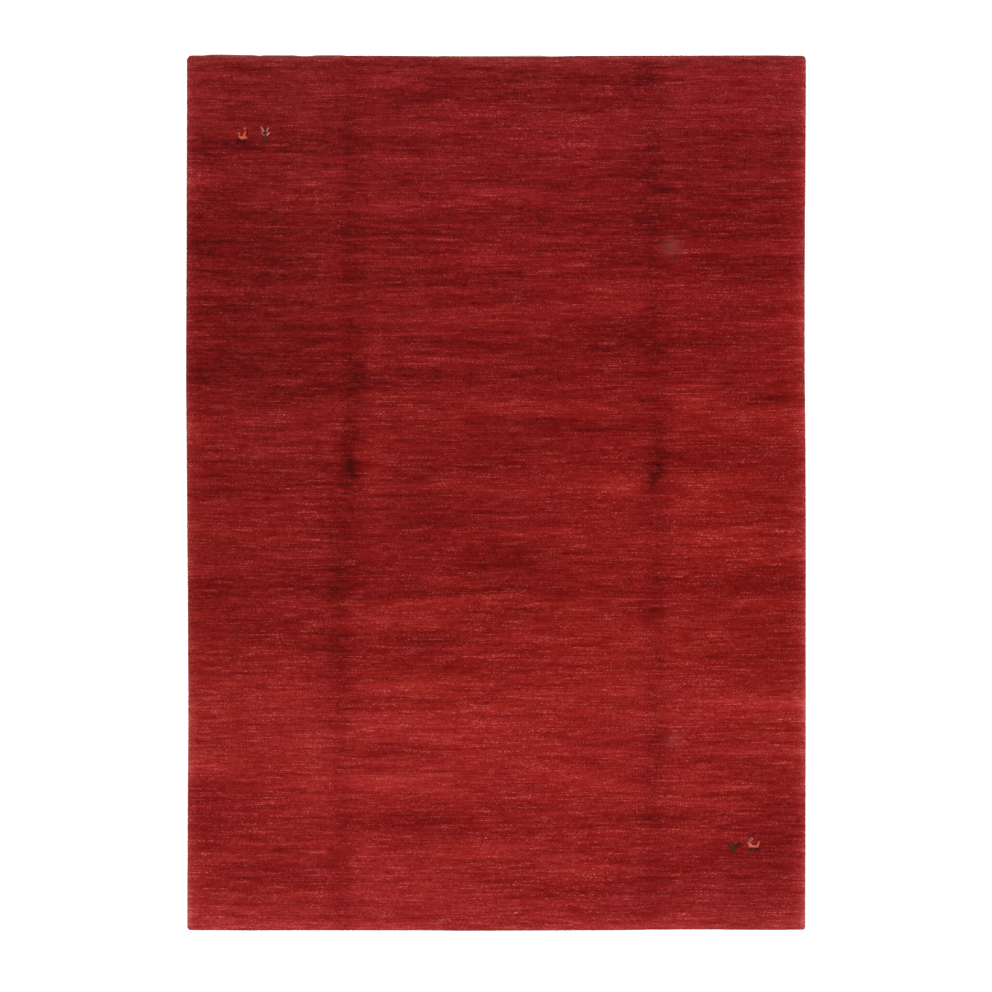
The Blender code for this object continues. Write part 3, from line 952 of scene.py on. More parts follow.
def new_group(name, inputs, outputs):
    """Start a node group: its tree and what it is given. An input without a number is a vector."""
    tree = bpy.data.node_groups.new(name, "ShaderNodeTree")
    for label, default in inputs.items():
        kind = "NodeSocketVector" if default is None else "NodeSocketFloat"
        item = tree.interface.new_socket(name=label, in_out="INPUT", socket_type=kind)
        if default is not None:
            item.default_value = default
    for label in outputs:
        kind = "NodeSocketColor" if label == "Color" else "NodeSocketFloat"
        tree.interface.new_socket(name=label, in_out="OUTPUT", socket_type=kind)
    return tree, add_node(tree, "NodeGroupInput").outputs


def finish_group(tree, results):
    """Feed a node group's results out of it and set out its nodes."""
    add_node(tree, "NodeGroupOutput", results)
    lay_out(tree)
    return tree


def maths(tree, operation, *values):
    """One sum of sockets or numbers."""
    return add_node(tree, "ShaderNodeMath", dict(enumerate(values)), operation=operation).outputs[0]


def mix(tree, blend, factor, first, second):
    """Blend two colours."""
    inputs = {"Factor": factor, "A": first, "B": second}
    return add_node(tree, "ShaderNodeMix", inputs, data_type="RGBA", blend_type=blend).outputs["Result"]


def noise(tree, vector, waves, detail):
    """Noise stretched by three scales, in waves per metre."""
    mapping = add_node(tree, "ShaderNodeMapping", {"Vector": vector, "Scale": waves})
    inputs = {
        "Vector": mapping.outputs["Vector"],
        "Scale": 1.0,
        "Detail": detail,
        "Roughness": NOISE_ROUGHNESS,
    }
    return add_node(tree, "ShaderNodeTexNoise", inputs).outputs["Fac"]


def stored(tree, name, output="Fac"):
    """A number or colour stored on the mesh."""
    return add_node(tree, "ShaderNodeAttribute", attribute_name=name).outputs[output]


def wool_fibre_group():
    """Node group: the fine fibres of wool, as a shade to add, pale ends that are partly painted highlights,
    and a height.
    """
    group = bpy.data.node_groups.get("wool_fibre")
    if group:
        return group
    inputs = {"Vector": None, "Streak": 0.12, "Grain": 0.10, "Fleck": 0.0}
    tree, given = new_group("wool_fibre", inputs, ("Shade", "Pale Ends And Highlights", "Height"))
    waves = {name: noise(tree, given["Vector"], *wave) for name, wave in FIBRE_WAVES.items()}
    parts = []
    for name, strength in (("streak", given["Streak"]), ("grain", given["Grain"])):
        from_middle = maths(tree, "SUBTRACT", waves[name], 0.5)
        parts.append(maths(tree, "MULTIPLY", from_middle, strength))
    many = maths(tree, "MULTIPLY_ADD", waves["flocks"], FLOCK_SHARE, -FLECK_BOUND)
    fleck_highlight = maths(tree, "MAXIMUM", maths(tree, "ADD", waves["ends"], many), 0.0)
    return finish_group(tree, {
        "Shade": maths(tree, "ADD", *parts),
        "Pale Ends And Highlights": maths(tree, "MULTIPLY", fleck_highlight, given["Fleck"]),
        "Height": maths(tree, "ADD", waves["grain"], waves["fuzz"]),
    })


def weave_relief_group():
    """Node group: rows of small nubs in two pitches, as on knot backs and flat weave."""
    group = bpy.data.node_groups.get("weave_relief")
    if group:
        return group
    inputs = {"Vector": None, **dict(zip(NUB_INPUTS, BACK_NUBS)), "Wander": NUB_WANDER}
    tree, given = new_group("weave_relief", inputs, ("Height",))
    place = add_node(tree, "ShaderNodeSeparateXYZ", {"Vector": given["Vector"]}).outputs
    drift = maths(tree, "MULTIPLY", noise(tree, given["Vector"], *NUB_DRIFT), given["Wander"])
    run = maths(tree, "DIVIDE", place["X"], given["Across"])
    run = maths(tree, "ADD", run, drift)
    row = maths(tree, "ADD", place["Y"], place["Z"])
    row = maths(tree, "DIVIDE", row, given["Along"])
    shift = maths(tree, "MULTIPLY", maths(tree, "FLOOR", run), given["Stagger"])
    row = maths(tree, "ADD", maths(tree, "ADD", row, shift), drift)
    waves = []
    for turns in (run, row):
        wave = maths(tree, "SINE", maths(tree, "MULTIPLY", turns, math.pi))
        waves.append(maths(tree, "ABSOLUTE", wave))
    height = maths(tree, "POWER", maths(tree, "MULTIPLY", *waves), NUB_ROUNDNESS)
    return finish_group(tree, {"Height": height})


def red_wool_group(colours):
    """Node group: the red of dyed wool for a shade, its warmth, paleness, and painted shade for its depth
    in the pile.
    """
    group = bpy.data.node_groups.get("red_wool")
    if group:
        return group
    inputs = {"Shade": MIDDLE_SHADE, "Warmth": 0.0, "Greyness": 0.0, "Paleness": 0.0, "Depth": 0.0}
    tree, given = new_group("red_wool", inputs, ("Color",))
    # Painted shade deep between the tufts.
    darker = maths(tree, "MULTIPLY", given["Depth"], DEPTH_PAINTED_SHADE)
    shade = maths(tree, "ADD", given["Shade"], darker)
    shade = maths(tree, "MULTIPLY_ADD", shade, 1 - RED_STOPS[1], RED_STOPS[1])
    ramp = add_node(tree, "ShaderNodeValToRGB", {"Fac": shade})
    elements = ramp.color_ramp.elements
    for place in RED_STOPS[1:-1]:
        elements.new(place)
    stops = (colours.deepest, colours.darkest, colours.dark, colours.light, colours.palest)
    for element, colour in zip(elements, stops):
        element.color = (*[min(1.0, part * colours.gain) for part in colour], 1.0)
    grey = maths(tree, "MULTIPLY_ADD", given["Greyness"], GREY_TINT, 1.0)
    tint = add_node(tree, "ShaderNodeCombineColor", {
        "Red": 1.0,
        "Green": maths(tree, "MULTIPLY_ADD", given["Warmth"], WARM_GREEN, grey),
        "Blue": maths(tree, "MULTIPLY_ADD", given["Warmth"], WARM_BLUE, grey),
    })
    tinted = mix(tree, "MULTIPLY", 1.0, ramp.outputs["Color"], tint.outputs["Color"])
    rubbed = maths(tree, "MULTIPLY", given["Paleness"], RUBBED_SHARE)
    return finish_group(tree, {"Color": mix(tree, "MIX", rubbed, tinted, RUBBED_COLOUR)})


def new_material(name, values):
    """Start a material and set its shader's own values."""
    material = bpy.data.materials.new(name)
    material.use_nodes = True
    shader = material.node_tree.nodes["Principled BSDF"]
    for label, value in values.items():
        shader.inputs[label].default_value = value
    return material


def start_wool(name, sheen, fibres):
    """Start a woollen material: itself, its tree, its object coordinates and its fibres."""
    material = new_material(name, {**WOOL_VALUES, "Sheen Weight": sheen})
    tree = material.node_tree
    place = add_node(tree, "ShaderNodeTexCoord").outputs["Object"]
    inputs = {"Vector": place, **fibres}
    fibre = add_node(tree, "ShaderNodeGroup", inputs, node_tree=wool_fibre_group())
    return material, tree, place, fibre.outputs


def finish_wool(tree, colour, height, strength, distance):
    """Feed a woollen material's colour and bump into its shader and set out its nodes."""
    shader = tree.nodes["Principled BSDF"]
    inputs = {"Height": height, "Strength": strength, "Distance": distance}
    bump = add_node(tree, "ShaderNodeBump", inputs)
    tree.links.new(colour, shader.inputs["Base Color"])
    tree.links.new(bump.outputs["Normal"], shader.inputs["Normal"])
    lay_out(tree)


def weave_nubs(tree, place, nubs):
    """The relief of a weave's nubs with their pitches."""
    inputs = {"Vector": place, **dict(zip(NUB_INPUTS, nubs))}
    return add_node(tree, "ShaderNodeGroup", inputs, node_tree=weave_relief_group()).outputs["Height"]


def red_wool_material(name, colours, nubs=None):
    """Dyed red wool that reads its shade, with painted light and shade, from the piece's own numbers."""
    streak, grain, sheen, bump = RED_WOOLS[name]
    fibres = {"Streak": streak, "Grain": grain, "Fleck": FLECK_GAIN}
    material, tree, place, fibre = start_wool(name, sheen, fibres)
    yarn = stored(tree, "yarn_and_painted_shade")
    shade = maths(tree, "ADD", yarn, fibre["Shade"])
    height = fibre["Height"]
    if nubs:
        relief = weave_nubs(tree, place, nubs)
        # Painted shade: nubs lighter, the gaps between them darker.
        painted_nub_light = maths(tree, "MULTIPLY_ADD", relief, NUB_PAINTED_SHADE, -NUB_MIDDLE * NUB_PAINTED_SHADE)
        shade = maths(tree, "ADD", shade, painted_nub_light)
        height = maths(tree, "MULTIPLY_ADD", relief, NUB_HEIGHT, height)
    inputs = {
        "Shade": shade,
        "Warmth": stored(tree, "yarn_warmth"),
        "Greyness": maths(tree, "MULTIPLY_ADD", fibre["Shade"], GREY_FIBRES, stored(tree, "yarn_and_sheen_grey")),
        "Paleness": stored(tree, "yarn_pale"),
        "Depth": stored(tree, "tuft_depth"),
    }
    red = add_node(tree, "ShaderNodeGroup", inputs, node_tree=red_wool_group(colours))
    # Pale fibre ends and painted highlights, more on light yarn.
    brighter = maths(tree, "MULTIPLY_ADD", yarn, *FLECK_BY_SHADE)
    fleck_highlight = maths(tree, "MULTIPLY", fibre["Pale Ends And Highlights"], brighter)
    flecked_highlit = mix(tree, "MIX", fleck_highlight, red.outputs["Color"], FLECK_HIGHLIGHT_COLOUR)
    finish_wool(tree, flecked_highlit, height, bump, RED_WOOL_BUMP)
    return material


def flat_weave_material(name, colours):
    """Undyed flat weave with brown rows and painted shadow between its nubs, read from the strip's own
    numbers.
    """
    material, tree, place, fibre = start_wool(name, WEAVE_SHEEN, WEAVE_FIBRES)
    relief = weave_nubs(tree, place, STRIP_NUBS)
    shadow = maths(tree, "MULTIPLY_ADD", relief, *WEAVE_SHADOW)
    brown = maths(tree, "ADD", stored(tree, "yarn_brown"), fibre["Shade"])
    # The brown share also carries painted shadow between the nubs.
    brown = maths(tree, "ADD", brown, shadow)
    colour = mix(tree, "MIX", brown, (*colours.undyed, 1.0), (*colours.brown, 1.0))
    height = maths(tree, "MULTIPLY_ADD", relief, NUB_HEIGHT, fibre["Height"])
    finish_wool(tree, colour, height, *WEAVE_BUMP)
    return material


def motif_material(name):
    """Dyed knots of the motifs, in the colours stored on their faces, with painted shade at their edges."""
    material, tree, _, fibre = start_wool(name, MOTIF_SHEEN, {})
    # Painted shade at the knots' edges, with the fibres' own tone on top.
    darker = maths(tree, "MULTIPLY_ADD", stored(tree, "tuft_depth"), *MOTIF_DEPTH_LIGHT)
    light = maths(tree, "MULTIPLY_ADD", fibre["Shade"], MOTIF_FIBRE_LIGHT, darker)
    colour = mix(tree, "MULTIPLY", 1.0, stored(tree, "yarn_colour", "Color"), light)
    finish_wool(tree, colour, fibre["Height"], *MOTIF_BUMP)
    return material


def once(name, make, *values):
    """A material by its name, made at its first use."""
    return bpy.data.materials.get(name) or make(name, *values)


def finish_piece(item, name, material, node):
    """Name a piece, give it its wool and join it to the frame."""
    item.name = name
    item.data.name = name
    item.data.materials.clear()
    item.data.materials.append(material)
    item.data.shade_smooth()
    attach(item, BODY)
    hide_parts(node)
    return item


def add_grid(columns, rows):
    """Add a flat grid one unit wide and long."""
    deselect_all()
    bpy.ops.mesh.primitive_grid_add(x_subdivisions=columns, y_subdivisions=rows, size=1)
    return bpy.context.object


def spread_map(mesh, flat):
    """Name a grid's own map and spread its flat points over most of it."""
    corners = np.empty(len(mesh.loops), dtype=np.int32)
    mesh.loops.foreach_get("vertex_index", corners)
    places = MAP_MARGIN + (flat[corners, :2] + 0.5) * np.array(MAP_SPREAD)
    layer = mesh.uv_layers[0]
    layer.name = BAKE_MAP
    layer.uv.foreach_set("vector", places.astype(np.float32).ravel())


def poke_all(item):
    """Give every face of a piece a point in its middle."""
    bpy.context.view_layer.objects.active = item
    bpy.ops.object.mode_set(mode="EDIT")
    bpy.ops.mesh.select_all(action="SELECT")
    bpy.ops.mesh.poke()
    bpy.ops.object.mode_set(mode="OBJECT")


def thicken(item, depth):
    """Give a sheet its depth, downwards."""
    solid = item.modifiers.new("depth", "SOLIDIFY")
    solid.thickness = depth
    solid.offset = -1.0
    bpy.context.view_layer.objects.active = item
    bpy.ops.object.modifier_apply(modifier=solid.name)


def close_below(item, outline):
    """Carry a band's rim in under the lip and down to the ground weave, and close it."""
    with opened(item) as mesh:
        edges = [edge for edge in mesh.edges if edge.is_boundary]
        for edge in edges:
            edge.smooth = abs(edge.verts[0].co.z - LIP_HEIGHT) < LIP_DROP * 1.5
        upper = len(mesh.faces)
        for height in (UNDER_LIP, PILE_BASE):
            edges, points = carry_down(mesh, edges, outline, height)
        bmesh.ops.contextual_create(mesh, geom=edges)
        mesh.faces.ensure_lookup_table()
        lay_map_below(mesh, mesh.faces[upper:])
        bmesh.ops.remove_doubles(mesh, verts=points, dist=MERGE_DISTANCE)
        bmesh.ops.recalc_face_normals(mesh, faces=mesh.faces)


def carry_down(mesh, edges, outline, height):
    """Add a ring of faces below a band's rim, in the same order at each run."""
    below = {}
    for edge in edges:
        for point in edge.verts:
            if point not in below:
                x, y = outline.pull_in(point.co.x, point.co.y, SIDE_RECESS, END_RECESS)
                below[point] = mesh.verts.new((x, y, height), point)
    ring = []
    for edge in edges:
        first = edge.link_loops[0].vert
        second = edge.other_vert(first)
        mesh.faces.new((first, second, below[second], below[first]))
        lower = mesh.edges.get((below[first], below[second]))
        lower.smooth = edge.smooth
        ring.append(lower)
    return ring, list(below.values())


def lay_map_below(mesh, faces):
    """Give the hidden faces under the pile a narrow strip of the map."""
    layer = mesh.loops.layers.uv[BAKE_MAP]
    middle, base = MAP_BELOW
    by_side, by_end = MAP_BELOW_WIDTH
    by_lift, rise = MAP_BELOW_HEIGHT
    for face in faces:
        for corner in face.loops:
            x, y, z = corner.vert.co
            across = middle + by_side * x / HALF_WIDTH + by_end * y / HALF_LENGTH
            corner[layer].uv = (across, base + by_lift * z + rise * y / HALF_LENGTH)


def make_pile_band(context, name, first, last, material):
    """One band of the field: a closed piece with every knot raised."""
    plan = rug_plan(context)
    rows = last - first
    columns = plan.shape[1]
    item = add_grid(columns, rows)
    poke_all(item)
    mesh = item.data
    flat = mesh_points(mesh)
    column = (flat[:, 0] + 0.5) * columns
    row = (flat[:, 1] + 0.5) * rows
    is_tip = np.abs(column - np.round(column)) > 0.25
    corner = (np.round(row[~is_tip]).astype(int) + first, np.round(column[~is_tip]).astype(int))
    tip = (np.floor(row[is_tip]).astype(int) + first, np.floor(column[is_tip]).astype(int))
    points = np.empty_like(flat)
    points[~is_tip] = plan.corners[corner]
    points[is_tip] = plan.tips[tip]
    spread_map(mesh, flat)
    set_mesh_points(mesh, points)
    # Corners between the tufts lie deep and get painted shade.
    set_attribute(mesh, "tuft_depth", "POINT", ~is_tip)
    for yarn, of_knots in plan.yarns.items():
        values = np.empty(len(flat))
        values[is_tip] = of_knots[tip]
        values[~is_tip] = mean_of_four(np.pad(of_knots, 1, mode="edge"))[corner]
        set_attribute(mesh, yarn, "POINT", values)
    close_below(item, plan.outline)
    return finish_piece(item, name, material, FIELD_NODE)


def lock_mesh(name, roots, tips, radius, yarns):
    """Three-sided tufts from roots to tips, joined in one mesh."""
    axis = tips - roots
    axis /= np.linalg.norm(axis, axis=1, keepdims=True)
    side = np.cross(axis, (0.0, 0.0, 1.0))
    side /= np.linalg.norm(side, axis=1, keepdims=True)
    up = np.cross(side, axis)
    belly_place, belly_rise, belly_girth = LOCK_BELLY
    belly = roots + (tips - roots) * belly_place + up * radius[:, None] * belly_rise
    rings = []
    for centre, share in ((roots, 1.0), (belly, belly_girth)):
        for turn in range(3):
            angle = 2 * math.pi * turn / 3 + LOCK_TURN
            around = side * math.cos(angle) + up * math.sin(angle)
            rings.append(centre + around * (radius * share)[:, None])
    points = np.stack((*rings, tips), axis=1).reshape(-1, 3)
    locks = range(0, len(points), len(LOCK_DEPTHS))
    faces = [tuple(first + corner for corner in face) for first in locks for face in LOCK_FACES]
    mesh = bpy.data.meshes.new(name)
    mesh.from_pydata(points.tolist(), [], faces)
    for yarn, values in yarns.items():
        set_attribute(mesh, yarn, "FACE", np.repeat(values, len(LOCK_FACES)))
    # Deeper corners of a lock get painted shade.
    set_attribute(mesh, "tuft_depth", "POINT", np.tile(LOCK_DEPTHS, len(roots)))
    item = bpy.data.objects.new(name, mesh)
    bpy.context.scene.collection.objects.link(item)
    return item


def edge_run(edge, along, inset):
    """Points of the plain rectangle at an inset from one edge."""
    if edge in ("left", "right"):
        side = -1 if edge == "left" else 1
        return side * (HALF_WIDTH - inset), along
    end = -1 if edge == "foot" else 1
    return along, end * (HALF_LENGTH - inset)


def make_rim_locks(context, edge, material):
    """The locks that splay over one edge of the pile."""
    plan = rug_plan(context)
    spacing = context.scene.rug_sizes.lock_spacing
    rng = np.random.default_rng(RUG_SEED + len(edge) + ord(edge[0]))
    half = HALF_LENGTH if edge in ("left", "right") else HALF_WIDTH
    run = half - LOCK_MARGIN
    roots = []
    tips = []
    for root_inset, root_height, tip_inset, tip_height in LOCK_TIERS:
        count = round(2 * run / spacing)
        along = np.linspace(-run, run, count) + rng.uniform(-0.5, 0.5, count) * spacing
        lean = rng.normal(0.0, LOCK_LEAN, count)
        stray = rng.uniform(-1, 1, (4, count))
        root = edge_run(edge, along, root_inset + ROOT_STRAY[0] * stray[0])
        tip_along = np.clip(along + lean, -half, half)
        tip = edge_run(edge, tip_along, tip_inset + TIP_STRAY[0] * np.abs(stray[1]))
        root_z = root_height + ROOT_STRAY[1] * stray[2]
        tip_z = tip_height + TIP_STRAY[1] * stray[3]
        roots.append(np.column_stack((*plan.outline.place(*root), root_z)))
        tips.append(np.column_stack((*plan.outline.place(*tip), tip_z)))
    roots = np.concatenate(roots)
    tips = np.concatenate(tips)
    radius = LOCK_RADIUS * rng.uniform(*LOCK_GIRTH, len(roots))
    yarns = plan.yarn_at(roots[:, 0], roots[:, 1])
    yarns["yarn_and_painted_shade"] = yarns["yarn_and_painted_shade"] + rng.normal(0.0, LOCK_TONE, len(roots))
    item = lock_mesh("rim_locks_" + edge, roots, tips, radius, yarns)
    return finish_piece(item, "rim_locks_" + edge, material, FIELD_NODE)


def roll_grid(item):
    """Join the long sides of a rolled grid into a tube and close its ends."""
    with opened(item) as mesh:
        bmesh.ops.remove_doubles(mesh, verts=mesh.verts, dist=MERGE_DISTANCE)
        rims = [edge for edge in mesh.edges if edge.is_boundary]
        bmesh.ops.holes_fill(mesh, edges=rims, sides=0)
        bmesh.ops.recalc_face_normals(mesh, faces=mesh.faces)


def make_selvedge(context, side, material):
    """One overcast cord: yarn wrapped round the edge warps under the pile."""
    plan = rug_plan(context)
    pitch = context.scene.rug_sizes.wrap_pitch
    rng = np.random.default_rng(RUG_SEED + CORD_SEED + side)
    length_along = 2 * (HALF_LENGTH - CORD_END_GAP)
    rings = 2 * round(length_along / pitch)
    item = add_grid(rings, CORD_SIDES)
    mesh = item.data
    flat = mesh_points(mesh)
    wrap = np.floor((face_centres(mesh)[:, 0] + 0.5) * rings / 2).astype(int)
    ring = np.round((flat[:, 0] + 0.5) * rings).astype(int)
    angle = 2 * math.pi * ((flat[:, 1] + 0.5) % 1.0)
    radius = EDGE_THICKNESS / 2
    uneven = rng.uniform(*WRAP_GIRTH, rings + 1)
    girth = radius * (1 - WRAP_DEPTH * (ring % 2) + uneven[ring])
    slant = WRAP_SLANT * pitch * np.cos(angle)
    along = np.clip(flat[:, 0] * length_along + slant, -length_along / 2, length_along / 2)
    centre = side * (HALF_WIDTH - CORD_GAP - radius)
    x, y = plan.outline.place(np.full(len(flat), centre), along)
    height = np.maximum(radius + girth * np.sin(angle), 0.0)
    spread_map(mesh, flat)
    set_mesh_points(mesh, np.column_stack((x + girth * np.cos(angle), y, height)))
    wraps = rings // 2 + 1
    mean, spread = WRAP_TONE
    tones = MIDDLE_SHADE + rng.normal(mean, spread, wraps)
    tones += np.repeat(rng.normal(0, spread, wraps // TONE_RUN + 1), TONE_RUN)[:wraps]
    set_attribute(mesh, "yarn_and_painted_shade", "FACE", tones[np.clip(wrap, 0, wraps - 1)])
    # The hollows between turns get painted shade.
    set_attribute(mesh, "tuft_depth", "POINT", ring % 2)
    roll_grid(item)
    return finish_piece(item, CORD_NODES[side] + "_wrap", material, CORD_NODES[side])


def strip_reach(end):
    """Outer edge of an end's solid: places across and distances from the middle."""
    points = mesh_points(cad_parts[END_NODES[end]].data)
    rounded = points[np.abs(points[:, 2] - EDGE_THICKNESS / 2) < EDGE_THICKNESS / 4]
    return Outline.edge(rounded, 0, 1)


def strip_peep(x, end):
    """How far the flat weave reaches past its solid's edge at places across."""
    reach = np.zeros(len(x))
    for start, stop, amount in PEEPS[end]:
        inside = ease((x - start) / PEEP_FADE) * ease((stop - x) / PEEP_FADE)
        reach = np.maximum(reach, amount * inside)
    return reach


def make_kilim_end(context, end, material):
    """A flat-woven end, folded under the pile, with its warp ribs."""
    rng = np.random.default_rng(RUG_SEED + END_SEED + end)
    low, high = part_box(END_NODES[end])
    width = high.x - low.x
    columns = 2 * round(width / context.scene.rug_sizes.rib_pitch)
    sides = len(STRIP_SECTION)
    item = add_grid(columns, sides)
    mesh = item.data
    flat = mesh_points(mesh)
    centres = face_centres(mesh) + 0.5
    column = np.round((flat[:, 0] + 0.5) * columns).astype(int)
    corner = np.round((flat[:, 1] + 0.5) * sides).astype(int) % sides
    inset, height = np.array(STRIP_SECTION)[corner].T
    rib = RIB_HEIGHT * (column % 2)
    depth = inset * STRIP_DEPTH + rib
    lift = height * (EDGE_THICKNESS - 2 * RIB_HEIGHT) + RIB_HEIGHT + rib * (height - 0.5)
    x = flat[:, 0] * width + rng.uniform(-RIB_STRAY, RIB_STRAY, columns + 1)[column]
    y = end * (np.interp(x, *strip_reach(end)) + strip_peep(x, end) * (1 - inset) - depth)
    spread_map(mesh, flat)
    set_mesh_points(mesh, np.column_stack((x, y, np.maximum(lift, 0.0))))
    face_side = np.floor(centres[:, 1] * sides).astype(int) % sides
    face_rib = np.floor(centres[:, 0] * columns / 2).astype(int)
    stretch = 0.5 + 0.5 * np.sin(BROWN_WAVE * face_rib + end)
    stretch += rng.uniform(-BROWN_SPREAD, BROWN_SPREAD, columns // 2 + 2)[face_rib]
    brown = np.array(STRIP_BROWN)[face_side] * stretch * BROWN_GAIN
    set_attribute(mesh, "yarn_brown", "FACE", np.clip(brown, 0.0, 1.0))
    roll_grid(item)
    return finish_piece(item, END_NODES[end] + "_weave", material, END_NODES[end])


def make_ground_weave(context, material):
    """The woven ground that the knots are tied on, seen from below."""
    plan = rug_plan(context)
    item = add_grid(GROUND_COLUMNS, GROUND_ROWS)
    mesh = item.data
    flat = mesh_points(mesh)
    half_x = HALF_WIDTH - SIDE_RECESS
    half_y = HALF_LENGTH - END_RECESS
    x, y = plan.outline.place(flat[:, 0] * 2 * half_x, flat[:, 1] * 2 * half_y)
    spread_map(mesh, flat)
    set_mesh_points(mesh, np.column_stack((x, y, np.full(len(x), PILE_BASE))))
    for yarn, values in plan.yarn_at(x, y).items():
        set_attribute(mesh, yarn, "POINT", values)
    # An even depth, which paints shade over the whole ground.
    set_attribute(mesh, "tuft_depth", "POINT", np.full(len(x), GROUND_PAINTED_SHADE_DEPTH))
    thicken(item, PILE_BASE)
    points = mesh_points(item.data)
    points[:, 2] -= points[:, 2].min()
    set_mesh_points(item.data, points)
    return finish_piece(item, "ground_weave", material, FIELD_NODE)


def make_motif(context, name, chart, across, along, material):
    """One small figure, knotted in other yarns among the red ones."""
    plan = rug_plan(context)
    rows = len(chart)
    columns = len(chart[0])
    item = add_grid(columns, rows)
    centres = face_centres(item.data) + 0.5
    column = np.floor(centres[:, 0] * columns).astype(int)
    row = rows - 1 - np.floor(centres[:, 1] * rows).astype(int)
    yarns = [chart[r][c] for r, c in zip(row, column)]
    colours = item.data.attributes.new("yarn_colour", "FLOAT_COLOR", "FACE")
    for stored_colour, yarn in zip(colours.data, yarns):
        stored_colour.color = (*MOTIF_YARNS.get(yarn, BARE_KNOT), 1.0)
    with opened(item) as mesh:
        bare = [face for face, yarn in zip(mesh.faces, yarns) if yarn == "."]
        bmesh.ops.delete(mesh, geom=bare, context="FACES")
    flat = mesh_points(item.data)
    x = across + flat[:, 0] * columns * MOTIF_KNOT
    y = along + flat[:, 1] * rows * MOTIF_KNOT
    z = plan.surface.height(x, y) - MOTIF_EDGE_DROP
    set_mesh_points(item.data, np.column_stack((x, y, z)))
    thicken(item, MOTIF_DEPTH)
    raise_motif_knots(item)
    return finish_piece(item, name, material, FIELD_NODE)


def raise_motif_knots(item):
    """Poke a motif's upper faces into tufts."""
    for face in item.data.polygons:
        face.select = face.normal.z > MOTIF_UPWARD
    for part in (*item.data.edges, *item.data.vertices):
        part.select = False
    corners = len(item.data.vertices)
    bpy.ops.object.mode_set(mode="EDIT")
    bpy.ops.mesh.select_mode(type="FACE")
    bpy.ops.mesh.poke(offset=MOTIF_TIP_RISE)
    bpy.ops.object.mode_set(mode="OBJECT")
    # Corners round each knot's tip get painted shade.
    set_attribute(item.data, "tuft_depth", "POINT", np.arange(len(item.data.vertices)) < corners)


class RUG_OT_knot_field(Operator):
    """Knot the red field in bands from the foot to the head"""

    bl_idname = "rug.knot_field"
    bl_label = "Knot the field"

    def execute(self, context):
        material = once("cut_pile", red_wool_material, context.scene.rug_colours)
        rows = rug_plan(context).shape[0]
        bands = context.scene.rug_sizes.bands
        limits = [round(rows * band / bands) for band in range(bands + 1)]
        for band, (first, last) in enumerate(zip(limits, limits[1:]), start=1):
            make_pile_band(context, f"pile_band_{band}", first, last, material)
        return {"FINISHED"}


class RUG_OT_splay_rim(Operator):
    """Splay the pile's outer locks over the rug's edges"""

    bl_idname = "rug.splay_rim"
    bl_label = "Splay the rim"

    def execute(self, context):
        material = once("cut_pile", red_wool_material, context.scene.rug_colours)
        for edge in ("left", "right", "head", "foot"):
            make_rim_locks(context, edge, material)
        return {"FINISHED"}


class RUG_OT_tie_motifs(Operator):
    """Tie the two pairs of small figures"""

    bl_idname = "rug.tie_motifs"
    bl_label = "Tie the motifs"

    def execute(self, context):
        material = once("motif_yarns", motif_material)
        for motif in MOTIFS:
            make_motif(context, *motif, material)
        return {"FINISHED"}


class RUG_OT_wrap_selvedges(Operator):
    """Overcast both side cords"""

    bl_idname = "rug.wrap_selvedges"
    bl_label = "Wrap the selvedges"

    def execute(self, context):
        material = once("overcast_yarn", red_wool_material, context.scene.rug_colours)
        for side in CORD_NODES:
            make_selvedge(context, side, material)
        return {"FINISHED"}


class RUG_OT_weave_ends(Operator):
    """Weave the flat ends and turn them under"""

    bl_idname = "rug.weave_ends"
    bl_label = "Weave the ends"

    def execute(self, context):
        material = once("flat_weave", flat_weave_material, context.scene.rug_colours)
        for end in END_NODES:
            make_kilim_end(context, end, material)
        return {"FINISHED"}


class RUG_OT_weave_ground(Operator):
    bl_idname = "rug.weave_ground"
    bl_label = "Weave the ground"

    def execute(self, context):
        material = once("knot_backs", red_wool_material, context.scene.rug_colours, BACK_NUBS)
        ground = make_ground_weave(context, material)
        return {"FINISHED"}


class RUG_OT_set_studio(Operator):
    """Lay the floor, hang the lights and set the camera over the rug"""

    bl_idname = "rug.set_studio"
    bl_label = "Set the studio"

    def execute(self, context):
        studio = context.scene.rug_studio
        context.scene.view_settings.view_transform = "Standard"
        make_floor()
        make_sky(studio)
        make_soft_box(studio)
        make_camera(studio)
        return {"FINISHED"}


def make_floor():
    """A wide plain white floor."""
    deselect_all()
    bpy.ops.mesh.primitive_plane_add(size=FLOOR_SIZE, location=(0, 0, -FLOOR_DROP))
    floor = bpy.context.object
    floor.name = "studio_floor"
    floor.data.materials.append(new_material("floor_white", FLOOR_VALUES))


def make_sky(studio):
    """An even pale light from all round."""
    world = bpy.data.worlds.new("studio_sky")
    world.use_nodes = True
    background = world.node_tree.nodes["Background"]
    background.inputs["Color"].default_value = WHITE
    background.inputs["Strength"].default_value = studio.sky
    bpy.context.scene.world = world


def make_soft_box(studio):
    """One large soft light from the head end and the left."""
    light = bpy.data.lights.new("soft_box", "AREA")
    light.shape = "SQUARE"
    light.size = SOFT_BOX_SIZE
    light.energy = studio.soft_box
    item = bpy.data.objects.new("soft_box", light)
    item.location = SOFT_BOX_PLACE
    direction = -item.location
    item.rotation_euler = direction.to_track_quat("-Z", "Y").to_euler()
    bpy.context.scene.collection.objects.link(item)


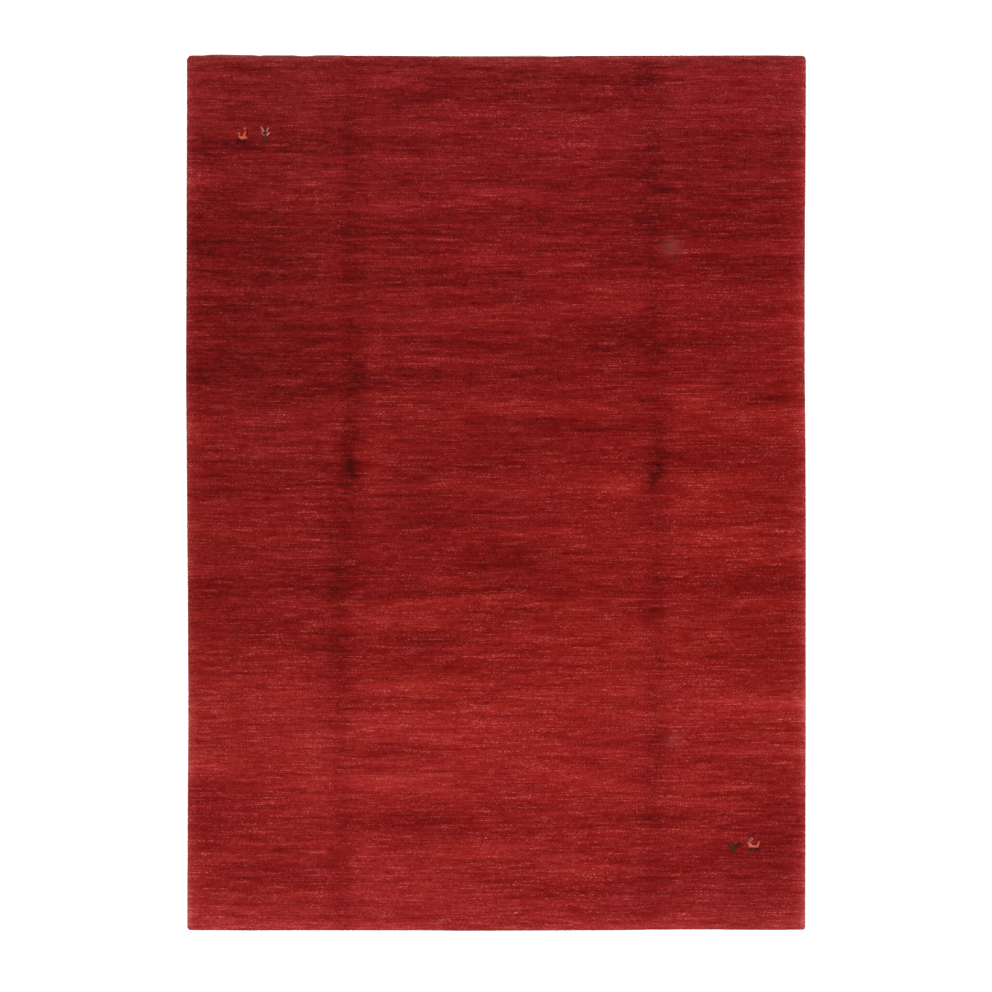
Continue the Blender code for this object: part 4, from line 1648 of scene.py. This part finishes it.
def make_camera(studio):
    """A long lens straight above the rug, as in the picture."""
    camera = bpy.data.cameras.new("camera")
    distance = studio.camera_height - LIP_HEIGHT
    camera.sensor_width = SENSOR_WIDTH
    camera.lens = camera.sensor_width * distance / studio.frame_width
    camera.clip_end = CLIP_END
    item = bpy.data.objects.new("camera", camera)
    item.location = (0.0, -studio.frame_shift, studio.camera_height)
    bpy.context.scene.collection.objects.link(item)
    bpy.context.scene.camera = item


class RUG_PT_sidebar(Panel):
    """Steps and sizes of the rug"""

    bl_label = "Gabbeh rug"
    bl_idname = "RUG_PT_sidebar"
    bl_space_type = "VIEW_3D"
    bl_region_type = "UI"
    bl_category = "Rug"

    def draw(self, context):
        layout = self.layout
        for operator in OPERATORS:
            layout.operator(operator.bl_idname)
        for group in (context.scene.rug_sizes, context.scene.rug_colours, context.scene.rug_studio):
            box = layout.box()
            for name in group.__annotations__:
                box.prop(group, name)


GROUPS = (RugSizes, RugColours, StudioSettings)
OPERATORS = (
    RUG_OT_knot_field,
    RUG_OT_splay_rim,
    RUG_OT_tie_motifs,
    RUG_OT_wrap_selvedges,
    RUG_OT_weave_ends,
    RUG_OT_weave_ground,
    RUG_OT_set_studio,
)


def register():
    """Register the groups, operators and panel, and give the scene its settings."""
    for item in (*GROUPS, *OPERATORS, RUG_PT_sidebar):
        bpy.utils.register_class(item)
    bpy.types.Scene.rug_sizes = PointerProperty(type=RugSizes)
    bpy.types.Scene.rug_colours = PointerProperty(type=RugColours)
    bpy.types.Scene.rug_studio = PointerProperty(type=StudioSettings)


def unregister():
    """Take back what register set up."""
    del bpy.types.Scene.rug_studio
    del bpy.types.Scene.rug_colours
    del bpy.types.Scene.rug_sizes
    for item in (RUG_PT_sidebar, *reversed(OPERATORS), *reversed(GROUPS)):
        bpy.utils.unregister_class(item)


def main():
    """Build the rug and its studio."""
    register()
    bpy.ops.rug.knot_field()
    bpy.ops.rug.splay_rim()
    bpy.ops.rug.tie_motifs()
    bpy.ops.rug.wrap_selvedges()
    bpy.ops.rug.weave_ends()
    bpy.ops.rug.weave_ground()
    bpy.ops.rug.set_studio()


if __name__ == "__main__":
    main()
